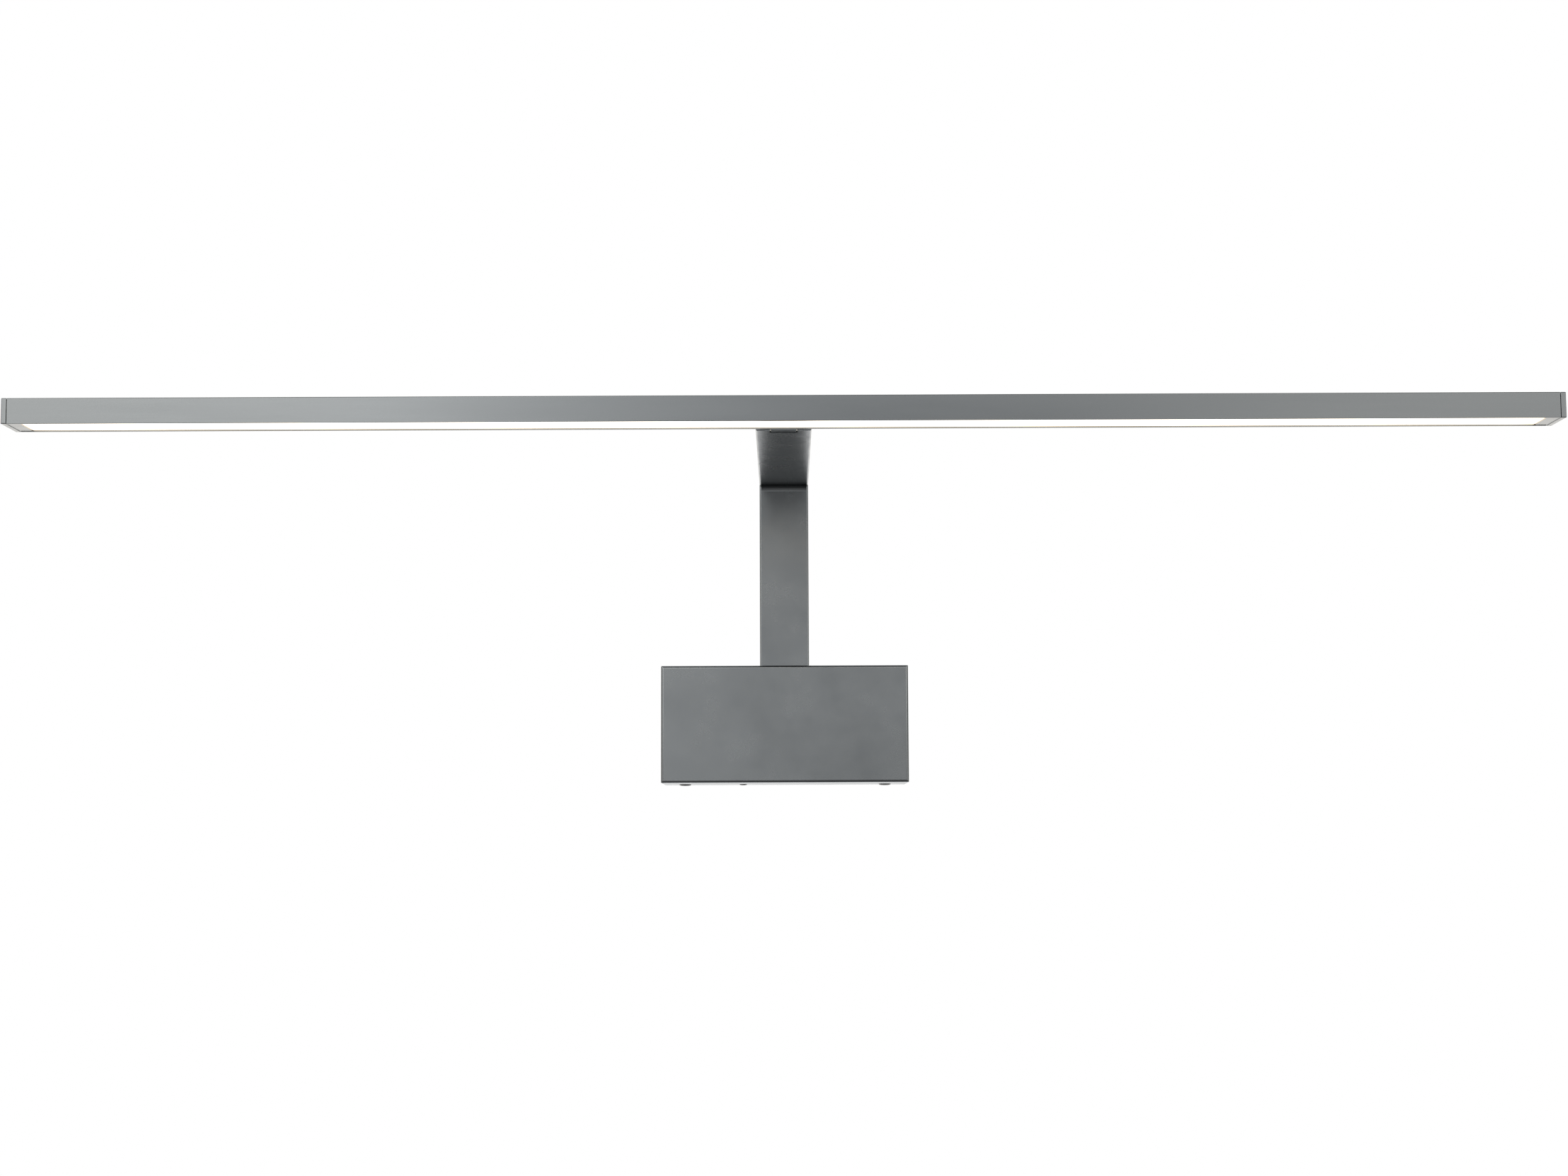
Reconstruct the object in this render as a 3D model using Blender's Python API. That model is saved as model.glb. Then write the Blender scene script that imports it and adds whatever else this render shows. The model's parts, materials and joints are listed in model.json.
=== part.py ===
"""Wall-mounted LED picture light: a slim lit bar on an L-shaped arm that rises from a small wall box.

Frame: metres, +X to the right, +Y into the wall, +Z up. The origin is the centre of the wall plate's
back face, which lies on the wall. The bar tilts about one hinge at the front end of the arm.
"""

import math

import bmesh
import bpy
from mathutils import Vector

MM = 0.001

# ---- driving dimensions, in metres -------------------------------------------------------------
HEAD_LENGTH = 600 * MM
HEAD_DEPTH = 20 * MM
HEAD_HEIGHT = 10 * MM
PROJECTION = 209 * MM  # wall to the front face of the head
RISE = 108 * MM  # box centre to the underside of the arm and of the head

BOX_WIDTH = 110 * MM
BOX_HEIGHT = 52 * MM
BOX_DEPTH = 42 * MM
COVER_WALL = 1.5 * MM
COVER_RADIUS = 1.2 * MM

ARM_WIDTH = 22 * MM
ARM_THICKNESS = 10 * MM
ARM_WALL = 1.5 * MM
ARM_RADIUS = 1.0 * MM
ARM_FRONT = 32 * MM  # wall to the front face of the upright

# ---- gaps --------------------------------------------------------------------------------------
TOUCH = 0.1 * MM  # between two pieces that bear on each other
MITRE_GAP = 0.06 * MM
RUNNING = 0.15 * MM  # round a screw in its hole
COVER_GAP = 0.2 * MM  # wall to the cover's open back, and round the screws in the cover
ARM_GAP = 0.4 * MM  # round the arm where the cover and the wall plate meet it

# ---- wall plate --------------------------------------------------------------------------------
PLATE_WIDTH = 106 * MM
PLATE_HEIGHT = 44 * MM
PLATE_THICKNESS = 1.5 * MM
TAB_THICKNESS = 1.5 * MM
TAB_WIDTH = 12 * MM
TAB_REACH = 20 * MM
BOND_TAB_WIDTH = 9 * MM
HOOK_WIDTH = 14 * MM
HOOK_REACH = 8 * MM
HOOK_X = 30 * MM
PLATE_CORNER_RADIUS = 2 * MM
COVER_SCREW_X = 45.2 * MM
COVER_SCREW_Y = -14 * MM
BOND_SCREW_X = -18.9 * MM
WALL_SLOT_X = 47 * MM
WALL_SLOT = (5 * MM, 11 * MM)
CABLE_HOLE = (-29 * MM, 9 * MM)
CABLE_HOLE_RADIUS = 7 * MM
BUSH_BORE_RADIUS = 4 * MM

# ---- arm fixing --------------------------------------------------------------------------------
BRACKET_WIDTH = 19 * MM
BRACKET_THICKNESS = 2 * MM
BRACKET_HALF_HAT = 10 * MM
BRACKET_SCREW_Z = 16 * MM
ARM_SCREW_Z = 4.5 * MM
ARM_FOOT_Z = -12 * MM
SCREW_RADIUS = 1.5 * MM  # M3
SMALL_SCREW_RADIUS = 1.0 * MM  # M2
TAPPING_RADIUS = 1.25 * MM  # 2.5 mm thread
PAN_HEAD_RADIUS = 2.75 * MM

# ---- hinge -------------------------------------------------------------------------------------
PIVOT_BACKSET = 6 * MM  # head's back face to the hinge axis
EAR_RADIUS = 5.5 * MM  # just over half the arm's thickness, so the ears keep flats above and below
SLOT_HALF = 5.5 * MM
SLOT_RADIUS = 5.6 * MM  # the slot's closed end is hollowed round the hinge axis
SLOT_LIP = 3.1 * MM  # hinge axis to the lips above and below that hollow
TONGUE_HALF = 4.9 * MM
KNUCKLE_RADIUS = 5.2 * MM
KNUCKLE_FLAT = 4.8 * MM  # hinge axis to the flats above and below the tongue
PIVOT_RADIUS = 2.0 * MM
DOG_RADIUS = 1.3 * MM
DOG_TIP_X = 2.4 * MM
HEX_RADIUS = 1.15 * MM
WASHER_RADIUS = 4.6 * MM
FORK_INSERT_LENGTH = 16 * MM
FORK_INSERT_GAP = 0.2 * MM
PAST_ARM = 13 * MM  # half the width of a cutter that runs right across the arm

# ---- head --------------------------------------------------------------------------------------
HEAD_WALL = 1.2 * MM
HEAD_TOP = 1.5 * MM
HEAD_EDGE = 0.35 * MM
CAP_THICKNESS = 2 * MM
CAP_GAP = 0.3 * MM
PLUG_LENGTH = 5 * MM
RIB_LOW = 2.0 * MM  # rib that the diffuser clips over, above the head's underside
RIB_HIGH = 2.7 * MM
RIB_REACH = 0.7 * MM
DIFFUSER_LOW = 0.5 * MM
DIFFUSER_THICKNESS = 1.35 * MM
DIFFUSER_GAP = 0.15 * MM
BOARD_WIDTH = 12 * MM
BOARD_THICKNESS = 1.0 * MM
LED_PITCH = 12.5 * MM
LED_COUNT = 23
FIRST_LED_X = 8 * MM
LED_SIZE = (3.5 * MM, 2.8 * MM, 0.7 * MM)
BRACKET_PLATE_HALF = 18 * MM
TILT_SCREW_X = 14 * MM
TILT_HEAD_RADIUS = 2.3 * MM
CAP_SCREW_X = 295.5 * MM
CAP_HEAD_RADIUS = 1.9 * MM

LED_LEAD_RADIUS = 1.0 * MM
MAINS_LEAD_RADIUS = 0.9 * MM

# ---- places worked out from the dimensions above -----------------------------------------------
HEAD_FRONT_Y = -PROJECTION
HEAD_BACK_Y = HEAD_FRONT_Y + HEAD_DEPTH
PIVOT = Vector((0, HEAD_BACK_Y + PIVOT_BACKSET, RISE + ARM_THICKNESS / 2))
ARM_BACK_Y = -(ARM_FRONT - ARM_THICKNESS)
ARM_FRONT_Y = -ARM_FRONT
MITRE_SUM = RISE + ARM_FRONT  # the mitre plane is z = y + MITRE_SUM
HOUSING_HALF = HEAD_LENGTH / 2 - CAP_THICKNESS - CAP_GAP
PLUG_END_X = HEAD_LENGTH / 2 - CAP_THICKNESS - PLUG_LENGTH
SLOT_END_Y = PIVOT.y + SLOT_RADIUS
ARM_TIP_Y = PIVOT.y - EAR_RADIUS - 1 * MM  # before the ears' ends are rounded
NECK_LOW = RISE + 3.7 * MM
NECK_HIGH = RISE + 7.8 * MM
NECK_FRONT_Y = HEAD_BACK_Y - HEAD_WALL - 1.7 * MM
LEAD_Z = (NECK_LOW + NECK_HIGH) / 2
INNER_BOTTOM_Z = -BOX_HEIGHT / 2 + COVER_WALL
INNER_TOP_Z = -INNER_BOTTOM_Z
TAB_LOW_Z = INNER_BOTTOM_Z + 0.3 * MM

for old in list(bpy.data.objects):
    bpy.data.objects.remove(old)


# ---- helpers -----------------------------------------------------------------------------------
def material(name, colour, roughness, metallic=0.0, glow=0.0):
    """A Principled material; glow is its emission strength."""
    made = bpy.data.materials.new(name)
    made.use_nodes = True
    shader = made.node_tree.nodes["Principled BSDF"]
    shader.inputs["Base Color"].default_value = (*colour, 1.0)
    shader.inputs["Roughness"].default_value = roughness
    shader.inputs["Metallic"].default_value = metallic
    if glow:
        shader.inputs["Emission Color"].default_value = (*colour, 1.0)
        shader.inputs["Emission Strength"].default_value = glow
    return made


FINISH = material("satin_graphite", (0.19, 0.205, 0.215), 0.38, 0.85)
STEEL = material("zinc_steel", (0.55, 0.56, 0.57), 0.35, 1.0)
DARK_STEEL = material("black_screw", (0.06, 0.06, 0.065), 0.4, 0.9)
ALUMINIUM = material("bare_aluminium", (0.72, 0.72, 0.73), 0.4, 1.0)
OPAL = material("opal_acrylic", (1.0, 0.88, 0.72), 0.4, 0.0, glow=2.0)
WHITE_BOARD = material("white_board", (0.88, 0.88, 0.86), 0.5)
WHITE_PLASTIC = material("white_plastic", (0.82, 0.82, 0.80), 0.5)
BLACK_PLASTIC = material("black_plastic", (0.03, 0.03, 0.03), 0.5)
RUBBER = material("black_rubber", (0.025, 0.025, 0.025), 0.8)
NYLON = material("nylon", (0.80, 0.78, 0.70), 0.5)
BROWN = material("live_sleeve", (0.16, 0.06, 0.02), 0.45)
BLUE = material("neutral_sleeve", (0.03, 0.12, 0.45), 0.45)
GREEN = material("earth_sleeve", (0.25, 0.42, 0.04), 0.45)
GREY_FOAM = material("foam_tape", (0.20, 0.20, 0.20), 0.9)

tilt_axis = bpy.data.objects.new("head_tilt_axis", None)
tilt_axis.location = PIVOT
bpy.context.scene.collection.objects.link(tilt_axis)


def add(name, shape, finish=None, parent=None, round_shape=False):
    """Makes a bmesh into an object whose own origin is its parent's, or the frame's."""
    origin = Vector(parent.location) if parent else Vector((0, 0, 0))
    bmesh.ops.translate(shape, verts=shape.verts, vec=-origin)
    bmesh.ops.recalc_face_normals(shape, faces=shape.faces)
    mesh = bpy.data.meshes.new(name)
    shape.to_mesh(mesh)
    shape.free()
    if finish:
        mesh.materials.append(finish)
    if round_shape:
        mesh.shade_smooth()
        mesh.set_sharp_from_angle(angle=math.radians(35))
    obj = bpy.data.objects.new(name, mesh)
    obj.parent = parent
    bpy.context.scene.collection.objects.link(obj)
    return obj


def helper(name, shape, parent=None):
    """A cutter or a piece to be united: it shapes another object and is not a part itself."""
    obj = add(name, shape, parent=parent)
    obj.hide_render = True
    obj.display_type = "WIRE"
    return obj


def combine(obj, operation, *tools):
    for tool in tools:
        step = obj.modifiers.new(tool.name, "BOOLEAN")
        step.operation = operation
        step.object = tool
    return obj


def cut(obj, *tools):
    return combine(obj, "DIFFERENCE", *tools)


def unite(obj, *tools):
    return combine(obj, "UNION", *tools)


def block(x, y, z):
    """A box from its (low, high) ranges."""
    shape = bmesh.new()
    bmesh.ops.create_cube(shape, size=1.0)
    size = Vector((x[1] - x[0], y[1] - y[0], z[1] - z[0]))
    middle = Vector((x[0] + x[1], y[0] + y[1], z[0] + z[1])) / 2
    bmesh.ops.scale(shape, vec=size, verts=shape.verts)
    bmesh.ops.translate(shape, vec=middle, verts=shape.verts)
    return shape


def bevelled(shape, width, segments=2, keep=None):
    """Rounds the edges of a shape, or only those for which keep(edge) is true."""
    edges = [e for e in shape.edges if keep is None or keep(e)]
    bmesh.ops.bevel(shape, geom=edges, offset=width, segments=segments, affect="EDGES", profile=0.5)
    return shape


def prism(outline, low, high, axis="X"):
    """An outline extruded along an axis. The outline's pairs are (y, z), (x, z) or (x, y)."""
    place = {
        "X": lambda u, v, w: (w, u, v),
        "Y": lambda u, v, w: (u, w, v),
        "Z": lambda u, v, w: (u, v, w),
    }[axis]
    shape = bmesh.new()
    face = shape.faces.new([shape.verts.new(place(u, v, low)) for u, v in outline])
    grown = bmesh.ops.extrude_face_region(shape, geom=[face])
    verts = [g for g in grown["geom"] if isinstance(g, bmesh.types.BMVert)]
    bmesh.ops.translate(shape, verts=verts, vec=Vector(place(0, 0, high - low)))
    return shape


def round_bar(start, end, radius, segments=24):
    """A cylinder between two points."""
    start, end = Vector(start), Vector(end)
    shape = bmesh.new()
    bmesh.ops.create_cone(
        shape, cap_ends=True, segments=segments, radius1=radius, radius2=radius, depth=(end - start).length
    )
    turn = Vector((0, 0, 1)).rotation_difference(end - start)
    bmesh.ops.rotate(shape, verts=shape.verts, matrix=turn.to_matrix())
    bmesh.ops.translate(shape, verts=shape.verts, vec=(start + end) / 2)
    return shape


def turned(start, direction, profile, segments=20):
    """A turned shape. The profile's pairs are (distance along direction, radius), from end to end."""
    shape = bmesh.new()
    points = [(profile[0][0], 0.0), *profile, (profile[-1][0], 0.0)]
    verts = [shape.verts.new((radius, 0, along)) for along, radius in points]
    edges = [shape.edges.new(pair) for pair in zip(verts, verts[1:])]
    bmesh.ops.spin(
        shape, geom=verts + edges, axis=(0, 0, 1), cent=(0, 0, 0), steps=segments, angle=math.tau
    )
    bmesh.ops.remove_doubles(shape, verts=shape.verts, dist=1e-7)
    turn = Vector((0, 0, 1)).rotation_difference(Vector(direction))
    bmesh.ops.rotate(shape, verts=shape.verts, matrix=turn.to_matrix())
    bmesh.ops.translate(shape, verts=shape.verts, vec=Vector(start))
    return shape


def arc(centre, radius, start_deg, end_deg, steps):
    for i in range(steps + 1):
        angle = math.radians(start_deg + (end_deg - start_deg) * i / steps)
        yield (centre[0] + radius * math.cos(angle), centre[1] + radius * math.sin(angle))


def round_rectangle(u, v, radius, steps=3):
    """The outline of a rectangle with round corners, from its (low, high) ranges."""
    corners = ((u[1], v[1], 0), (u[0], v[1], 90), (u[0], v[0], 180), (u[1], v[0], 270))
    outline = []
    for cu, cv, turn in corners:
        centre = (
            cu - math.copysign(radius, cu - (u[0] + u[1]) / 2),
            cv - math.copysign(radius, cv - (v[0] + v[1]) / 2),
        )
        outline.extend(arc(centre, radius, turn, turn + 90, steps))
    return outline


def tube(outer, inner, low_end, high_end):
    """A hollow bar. The two outlines have as many points, and each end places an outline's pair."""
    shape = bmesh.new()
    low_out, low_in = ([shape.verts.new(low_end(*p)) for p in ring] for ring in (outer, inner))
    high_out, high_in = ([shape.verts.new(high_end(*p)) for p in ring] for ring in (outer, inner))
    pairs = ((low_out, high_out), (high_in, low_in), (low_in, low_out), (high_out, high_in))
    count = len(outer)
    for a, b in pairs:
        for i in range(count):
            j = (i + 1) % count
            shape.faces.new((a[i], a[j], b[j], b[i]))
    return shape


def screw_profile(head_radius, head_height, radius, length, chamfer=0.3 * MM):
    """Pan-head screw, from the top of its head to its tip."""
    return [
        (0.0, head_radius - chamfer),
        (chamfer, head_radius),
        (head_height, head_radius),
        (head_height, radius),
        (head_height + length - chamfer, radius),
        (head_height + length, radius - chamfer),
    ]


def countersunk_profile(head_radius, head_height, radius, length):
    return [
        (0.0, head_radius),
        (head_height, radius),
        (head_height + length, radius),
    ]


def cross_recess(name, centre, direction, size, depth, parent=None):
    """A cutter for the cross slot of a screw whose head faces along direction."""
    direction = Vector(direction)
    centre = Vector(centre)
    width = size * 0.28
    shape = bmesh.new()
    outline = [
        (width, width), (width, size), (-width, size), (-width, width),
        (-size, width), (-size, -width), (-width, -width), (-width, -size),
        (width, -size), (width, -width), (size, -width), (size, width),
    ]
    face = shape.faces.new([shape.verts.new((u, v, -depth)) for u, v in outline])
    grown = bmesh.ops.extrude_face_region(shape, geom=[face])
    verts = [g for g in grown["geom"] if isinstance(g, bmesh.types.BMVert)]
    bmesh.ops.translate(shape, verts=verts, vec=(0, 0, 2 * depth))
    turn = Vector((0, 0, 1)).rotation_difference(direction)
    bmesh.ops.rotate(shape, verts=shape.verts, matrix=turn.to_matrix())
    bmesh.ops.translate(shape, verts=shape.verts, vec=centre)
    return helper(name, shape, parent)


def screw(name, top, direction, profile, finish, parent=None, recess=True):
    """A screw whose head's top is at a point and whose shank runs along direction."""
    obj = add(name, turned(top, direction, profile), finish, parent, round_shape=True)
    if recess:
        radius = max(r for _, r in profile)
        outward = -Vector(direction)
        cut(obj, cross_recess(name + "_recess", top, outward, radius * 0.5, radius * 0.3, parent))
    return obj


def smooth_route(points, spacing):
    """Points about one spacing apart on a Catmull-Rom curve through the route's own points."""
    points = [Vector(p) for p in points]
    padded = [2 * points[0] - points[1], *points, 2 * points[-1] - points[-2]]
    route = [points[0]]
    for a, b, c, d in zip(padded, padded[1:], padded[2:], padded[3:]):
        steps = max(2, round((c - b).length / spacing))
        for i in range(1, steps + 1):
            t = i / steps
            square, cube = 2 * a - 5 * b + 4 * c - d, 3 * b - a - 3 * c + d
            route.append(0.5 * (2 * b + (c - a) * t + square * t**2 + cube * t**3))
    return route


def lead(name, points, radius, finish, parent=None, spacing=5 * MM):
    """An insulated lead: a round tube along a smooth route, with closed ends."""
    origin = Vector(parent.location) if parent else Vector((0, 0, 0))
    curve = bpy.data.curves.new(name, "CURVE")
    curve.dimensions = "3D"
    curve.bevel_depth = radius
    curve.bevel_resolution = 2
    curve.use_fill_caps = True
    route = smooth_route(points, spacing)
    spline = curve.splines.new("POLY")
    spline.points.add(len(route) - 1)
    for point, place in zip(spline.points, route):
        point.co = (*(place - origin), 1.0)
    curve.materials.append(finish)
    obj = bpy.data.objects.new(name, curve)
    obj.parent = parent
    bpy.context.scene.collection.objects.link(obj)
    return obj


# ---- wall box ----------------------------------------------------------------------------------
def plate_tab(name, x, width, reach, upper=False):
    """A helper for one folded tab of the wall plate, with its stub on the plate's edge."""
    sign = 1 if upper else -1
    inner = PLATE_HEIGHT / 2 - 1 * MM
    outer = -TAB_LOW_Z
    outline = [
        (0, sign * inner),
        (0, sign * outer),
        (-reach, sign * outer),
        (-reach, sign * (outer - TAB_THICKNESS)),
        (-PLATE_THICKNESS, sign * (outer - TAB_THICKNESS)),
        (-PLATE_THICKNESS, sign * inner),
    ]
    return helper(name, prism(outline, x - width / 2, x + width / 2))


def notch_filler():
    """A helper for the folded tab that closes the cover's notch behind the arm, level with the cover."""
    root = PLATE_HEIGHT / 2 - 1 * MM
    top = BOX_HEIGHT / 2 - TOUCH
    under = INNER_TOP_Z + TOUCH
    front = ARM_BACK_Y + ARM_GAP
    outline = [
        (0, root),
        (0, top),
        (front, top),
        (front, under),
        (-PLATE_THICKNESS, under),
        (-PLATE_THICKNESS, root),
    ]
    return helper("notch_filler", prism(outline, -ARM_WIDTH / 2, ARM_WIDTH / 2))


def make_wall_plate():
    """The folded plate that screws to the wall, with tabs for the cover's screws below and hooks above."""
    outline = round_rectangle(
        (-PLATE_WIDTH / 2, PLATE_WIDTH / 2), (-PLATE_HEIGHT / 2, PLATE_HEIGHT / 2), PLATE_CORNER_RADIUS
    )
    plate = add("wall_plate", prism(outline, -PLATE_THICKNESS, 0, "Y"), FINISH)
    unite(
        plate,
        plate_tab("tab_left", -COVER_SCREW_X, TAB_WIDTH, TAB_REACH),
        plate_tab("tab_right", COVER_SCREW_X, TAB_WIDTH, TAB_REACH),
        plate_tab("tab_bond", BOND_SCREW_X, BOND_TAB_WIDTH, TAB_REACH),
        plate_tab("hook_left", -HOOK_X, HOOK_WIDTH, HOOK_REACH, upper=True),
        plate_tab("hook_right", HOOK_X, HOOK_WIDTH, HOOK_REACH, upper=True),
        notch_filler(),
    )
    through = (-3 * MM, 1 * MM)
    half_width, half_height = WALL_SLOT[0] / 2, WALL_SLOT[1] / 2
    slot_radius = half_width - 0.05 * MM
    for side in (-1, 1):
        x = side * WALL_SLOT_X
        slot_x = (x - half_width, x + half_width)
        slot = round_rectangle(slot_x, (-half_height, half_height), slot_radius, 4)
        cut(plate, helper(f"wall_slot_{side}", prism(slot, *through, "Y")))
    x, z = CABLE_HOLE
    hole = round_bar((x, through[0], z), (x, through[1], z), CABLE_HOLE_RADIUS, 32)
    cut(plate, helper("cable_hole", hole))
    for name, x, z, radius in (
        ("bracket_hole_upper", 0, BRACKET_SCREW_Z, SCREW_RADIUS),
        ("bracket_hole_lower", 0, -BRACKET_SCREW_Z, SCREW_RADIUS),
        ("earth_hole", *EARTH_SCREW, SCREW_RADIUS),
        ("terminal_hole", TERMINAL_SCREW_X, TERMINAL_MIDDLE_Z, TAPPING_RADIUS),
    ):
        bar = round_bar((x, through[0], z), (x, through[1], z), radius + RUNNING, 20)
        cut(plate, helper(name, bar))
    for name, x, radius in (
        ("tab_hole_left", -COVER_SCREW_X, SCREW_RADIUS),
        ("tab_hole_right", COVER_SCREW_X, SCREW_RADIUS),
        ("tab_hole_bond", BOND_SCREW_X, SMALL_SCREW_RADIUS),
    ):
        below, above = TAB_LOW_Z - 2 * MM, TAB_LOW_Z + 4 * MM
        bar = round_bar((x, COVER_SCREW_Y, below), (x, COVER_SCREW_Y, above), radius + RUNNING, 20)
        cut(plate, helper(name, bar))
    return plate


def make_box_cover():
    """A five-sided shell, open at the wall, with a notch in its top so that it slides on round the arm."""
    back = -COVER_GAP
    x = (-BOX_WIDTH / 2, BOX_WIDTH / 2)
    z = (-BOX_HEIGHT / 2, BOX_HEIGHT / 2)
    shell = bevelled(
        block(x, (-BOX_DEPTH, back), z),
        COVER_RADIUS,
        4,
        lambda e: max(v.co.y for v in e.verts) < -BOX_DEPTH / 2,
    )
    cover = add("box_cover", shell, FINISH, round_shape=True)
    inside = bevelled(
        block(
            (x[0] + COVER_WALL, x[1] - COVER_WALL),
            (-BOX_DEPTH + COVER_WALL, 2 * MM),
            (z[0] + COVER_WALL, z[1] - COVER_WALL),
        ),
        0.6 * MM,
        1,
        lambda e: max(v.co.y for v in e.verts) < 0,
    )
    cut(cover, helper("cover_inside", inside))
    side = ARM_WIDTH / 2 + ARM_GAP
    notch = block((-side, side), (ARM_FRONT_Y - ARM_GAP, 2 * MM), (INNER_TOP_Z - 1 * MM, z[1] + 1 * MM))
    cut(cover, helper("cover_notch", notch))
    for name, at, radius in (
        ("cover_hole_left", -COVER_SCREW_X, SCREW_RADIUS),
        ("cover_hole_right", COVER_SCREW_X, SCREW_RADIUS),
        ("cover_hole_bond", BOND_SCREW_X, SMALL_SCREW_RADIUS),
    ):
        low, high = (at, COVER_SCREW_Y, z[0] - 1 * MM), (at, COVER_SCREW_Y, INNER_BOTTOM_Z + 1 * MM)
        cut(cover, helper(name, round_bar(low, high, radius + COVER_GAP, 20)))
    return cover


def make_cover_screws():
    """Low-head screws in the underside of the cover, and a smaller one that bonds it to the plate."""
    under = -BOX_HEIGHT / 2 - TOUCH / 2
    head, length = 0.6 * MM, 6 * MM
    for name, x in (("cover_screw_left", -COVER_SCREW_X), ("cover_screw_right", COVER_SCREW_X)):
        profile = screw_profile(PAN_HEAD_RADIUS, head, SCREW_RADIUS, length)
        screw(name, (x, COVER_SCREW_Y, under - head), (0, 0, 1), profile, DARK_STEEL)
    head, length, head_radius = 0.4 * MM, 5 * MM, 1.75 * MM
    profile = screw_profile(head_radius, head, SMALL_SCREW_RADIUS, length, 0.2 * MM)
    screw("cover_bond_screw", (BOND_SCREW_X, COVER_SCREW_Y, under - head), (0, 0, 1), profile, DARK_STEEL)


def make_cable_bush():
    """A snap-in bush for the mains cable, with its flange inside the box and no lip on the wall side."""
    x, z = CABLE_HOLE
    barrel = CABLE_HOLE_RADIUS - RUNNING
    flange = CABLE_HOLE_RADIUS + 1.8 * MM
    nose = BUSH_BORE_RADIUS + 1.2 * MM
    front = PLATE_THICKNESS + TOUCH
    profile = [
        (0.2 * MM, barrel),
        (front, barrel),
        (front, flange),
        (front + 1.2 * MM, flange),
        (front + 2.2 * MM, nose),
    ]
    bush = add("cable_entry_bush", turned((x, 0, z), (0, -1, 0), profile, 32), RUBBER, round_shape=True)
    bore = round_bar((x, -8 * MM, z), (x, 1 * MM, z), BUSH_BORE_RADIUS, 32)
    cut(bush, helper("bush_bore", bore))


# ---- wiring and driver -------------------------------------------------------------------------
TERMINAL_X = (-42 * MM, -16 * MM)
TERMINAL_Z = (-17 * MM, -5 * MM)
TERMINAL_Y = (-15 * MM, -PLATE_THICKNESS - TOUCH)
TERMINAL_MIDDLE_Z = (TERMINAL_Z[0] + TERMINAL_Z[1]) / 2
POLE_PITCH = (TERMINAL_X[1] - TERMINAL_X[0]) / 3
POLES = [TERMINAL_X[0] + POLE_PITCH * (i + 0.5) for i in range(3)]
TERMINAL_SCREW_X = TERMINAL_X[0] + POLE_PITCH
POLE_Y = -8.5 * MM
WIRE_HOLE_RADIUS = 1.5 * MM
CLAMP_HOLE_RADIUS = 1.6 * MM
EARTH_SCREW = (-15 * MM, 4 * MM)
EARTH_BARREL_HALF = 1.3 * MM

DRIVER_X = (14.5 * MM, 42.5 * MM)
DRIVER_Z = (-19 * MM, 19 * MM)
DRIVER_FRONT_Y = -28 * MM
DRIVER_BACK_Y = -3.4 * MM
DRIVER_WALL = 1.5 * MM
DRIVER_INPUTS = [(-25 * MM, -17 * MM), (-23 * MM, -13 * MM)]
DRIVER_OUTPUT = (21 * MM, -20 * MM)
WINDOW_Z = 19 * MM
WINDOW_RADIUS = 2.5 * MM


def make_terminal_block():
    """Three-pole terminal block, with wire holes above and below and a clamp screw over each."""
    body = bevelled(block(TERMINAL_X, TERMINAL_Y, TERMINAL_Z), 0.5 * MM, 1)
    terminal = add("terminal_block", body, WHITE_PLASTIC)
    before = TERMINAL_Y[0] - 1 * MM
    clamp_floor = TERMINAL_Y[0] + 3 * MM
    wire_depth = 4.5 * MM
    for i, x in enumerate(POLES):
        for end, outside, inward in (("low", TERMINAL_Z[0], 1), ("high", TERMINAL_Z[1], -1)):
            start, stop = outside - inward * MM, outside + inward * wire_depth
            wire = round_bar((x, POLE_Y, start), (x, POLE_Y, stop), WIRE_HOLE_RADIUS, 12)
            z = outside + inward * (wire_depth - 1.85 * MM)
            clamp = round_bar((x, before, z), (x, clamp_floor, z), CLAMP_HOLE_RADIUS, 12)
            cut(terminal, helper(f"wire_hole_{i}_{end}", wire), helper(f"clamp_hole_{i}_{end}", clamp))
    x, z = TERMINAL_SCREW_X, TERMINAL_MIDDLE_Z
    sink_floor = TERMINAL_Y[0] + 5 * MM
    fixing = round_bar((x, before, z), (x, 0, z), TAPPING_RADIUS + RUNNING, 16)
    sink = round_bar((x, before, z), (x, sink_floor, z), 2.6 * MM, 16)
    cut(terminal, helper("fixing_hole", fixing), helper("fixing_sink", sink))
    head, length = 1.5 * MM, 9.4 * MM
    profile = screw_profile(2.3 * MM, head, TAPPING_RADIUS, length)
    screw("terminal_block_screw", (x, sink_floor - head - TOUCH, z), (0, 1, 0), profile, STEEL)


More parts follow.
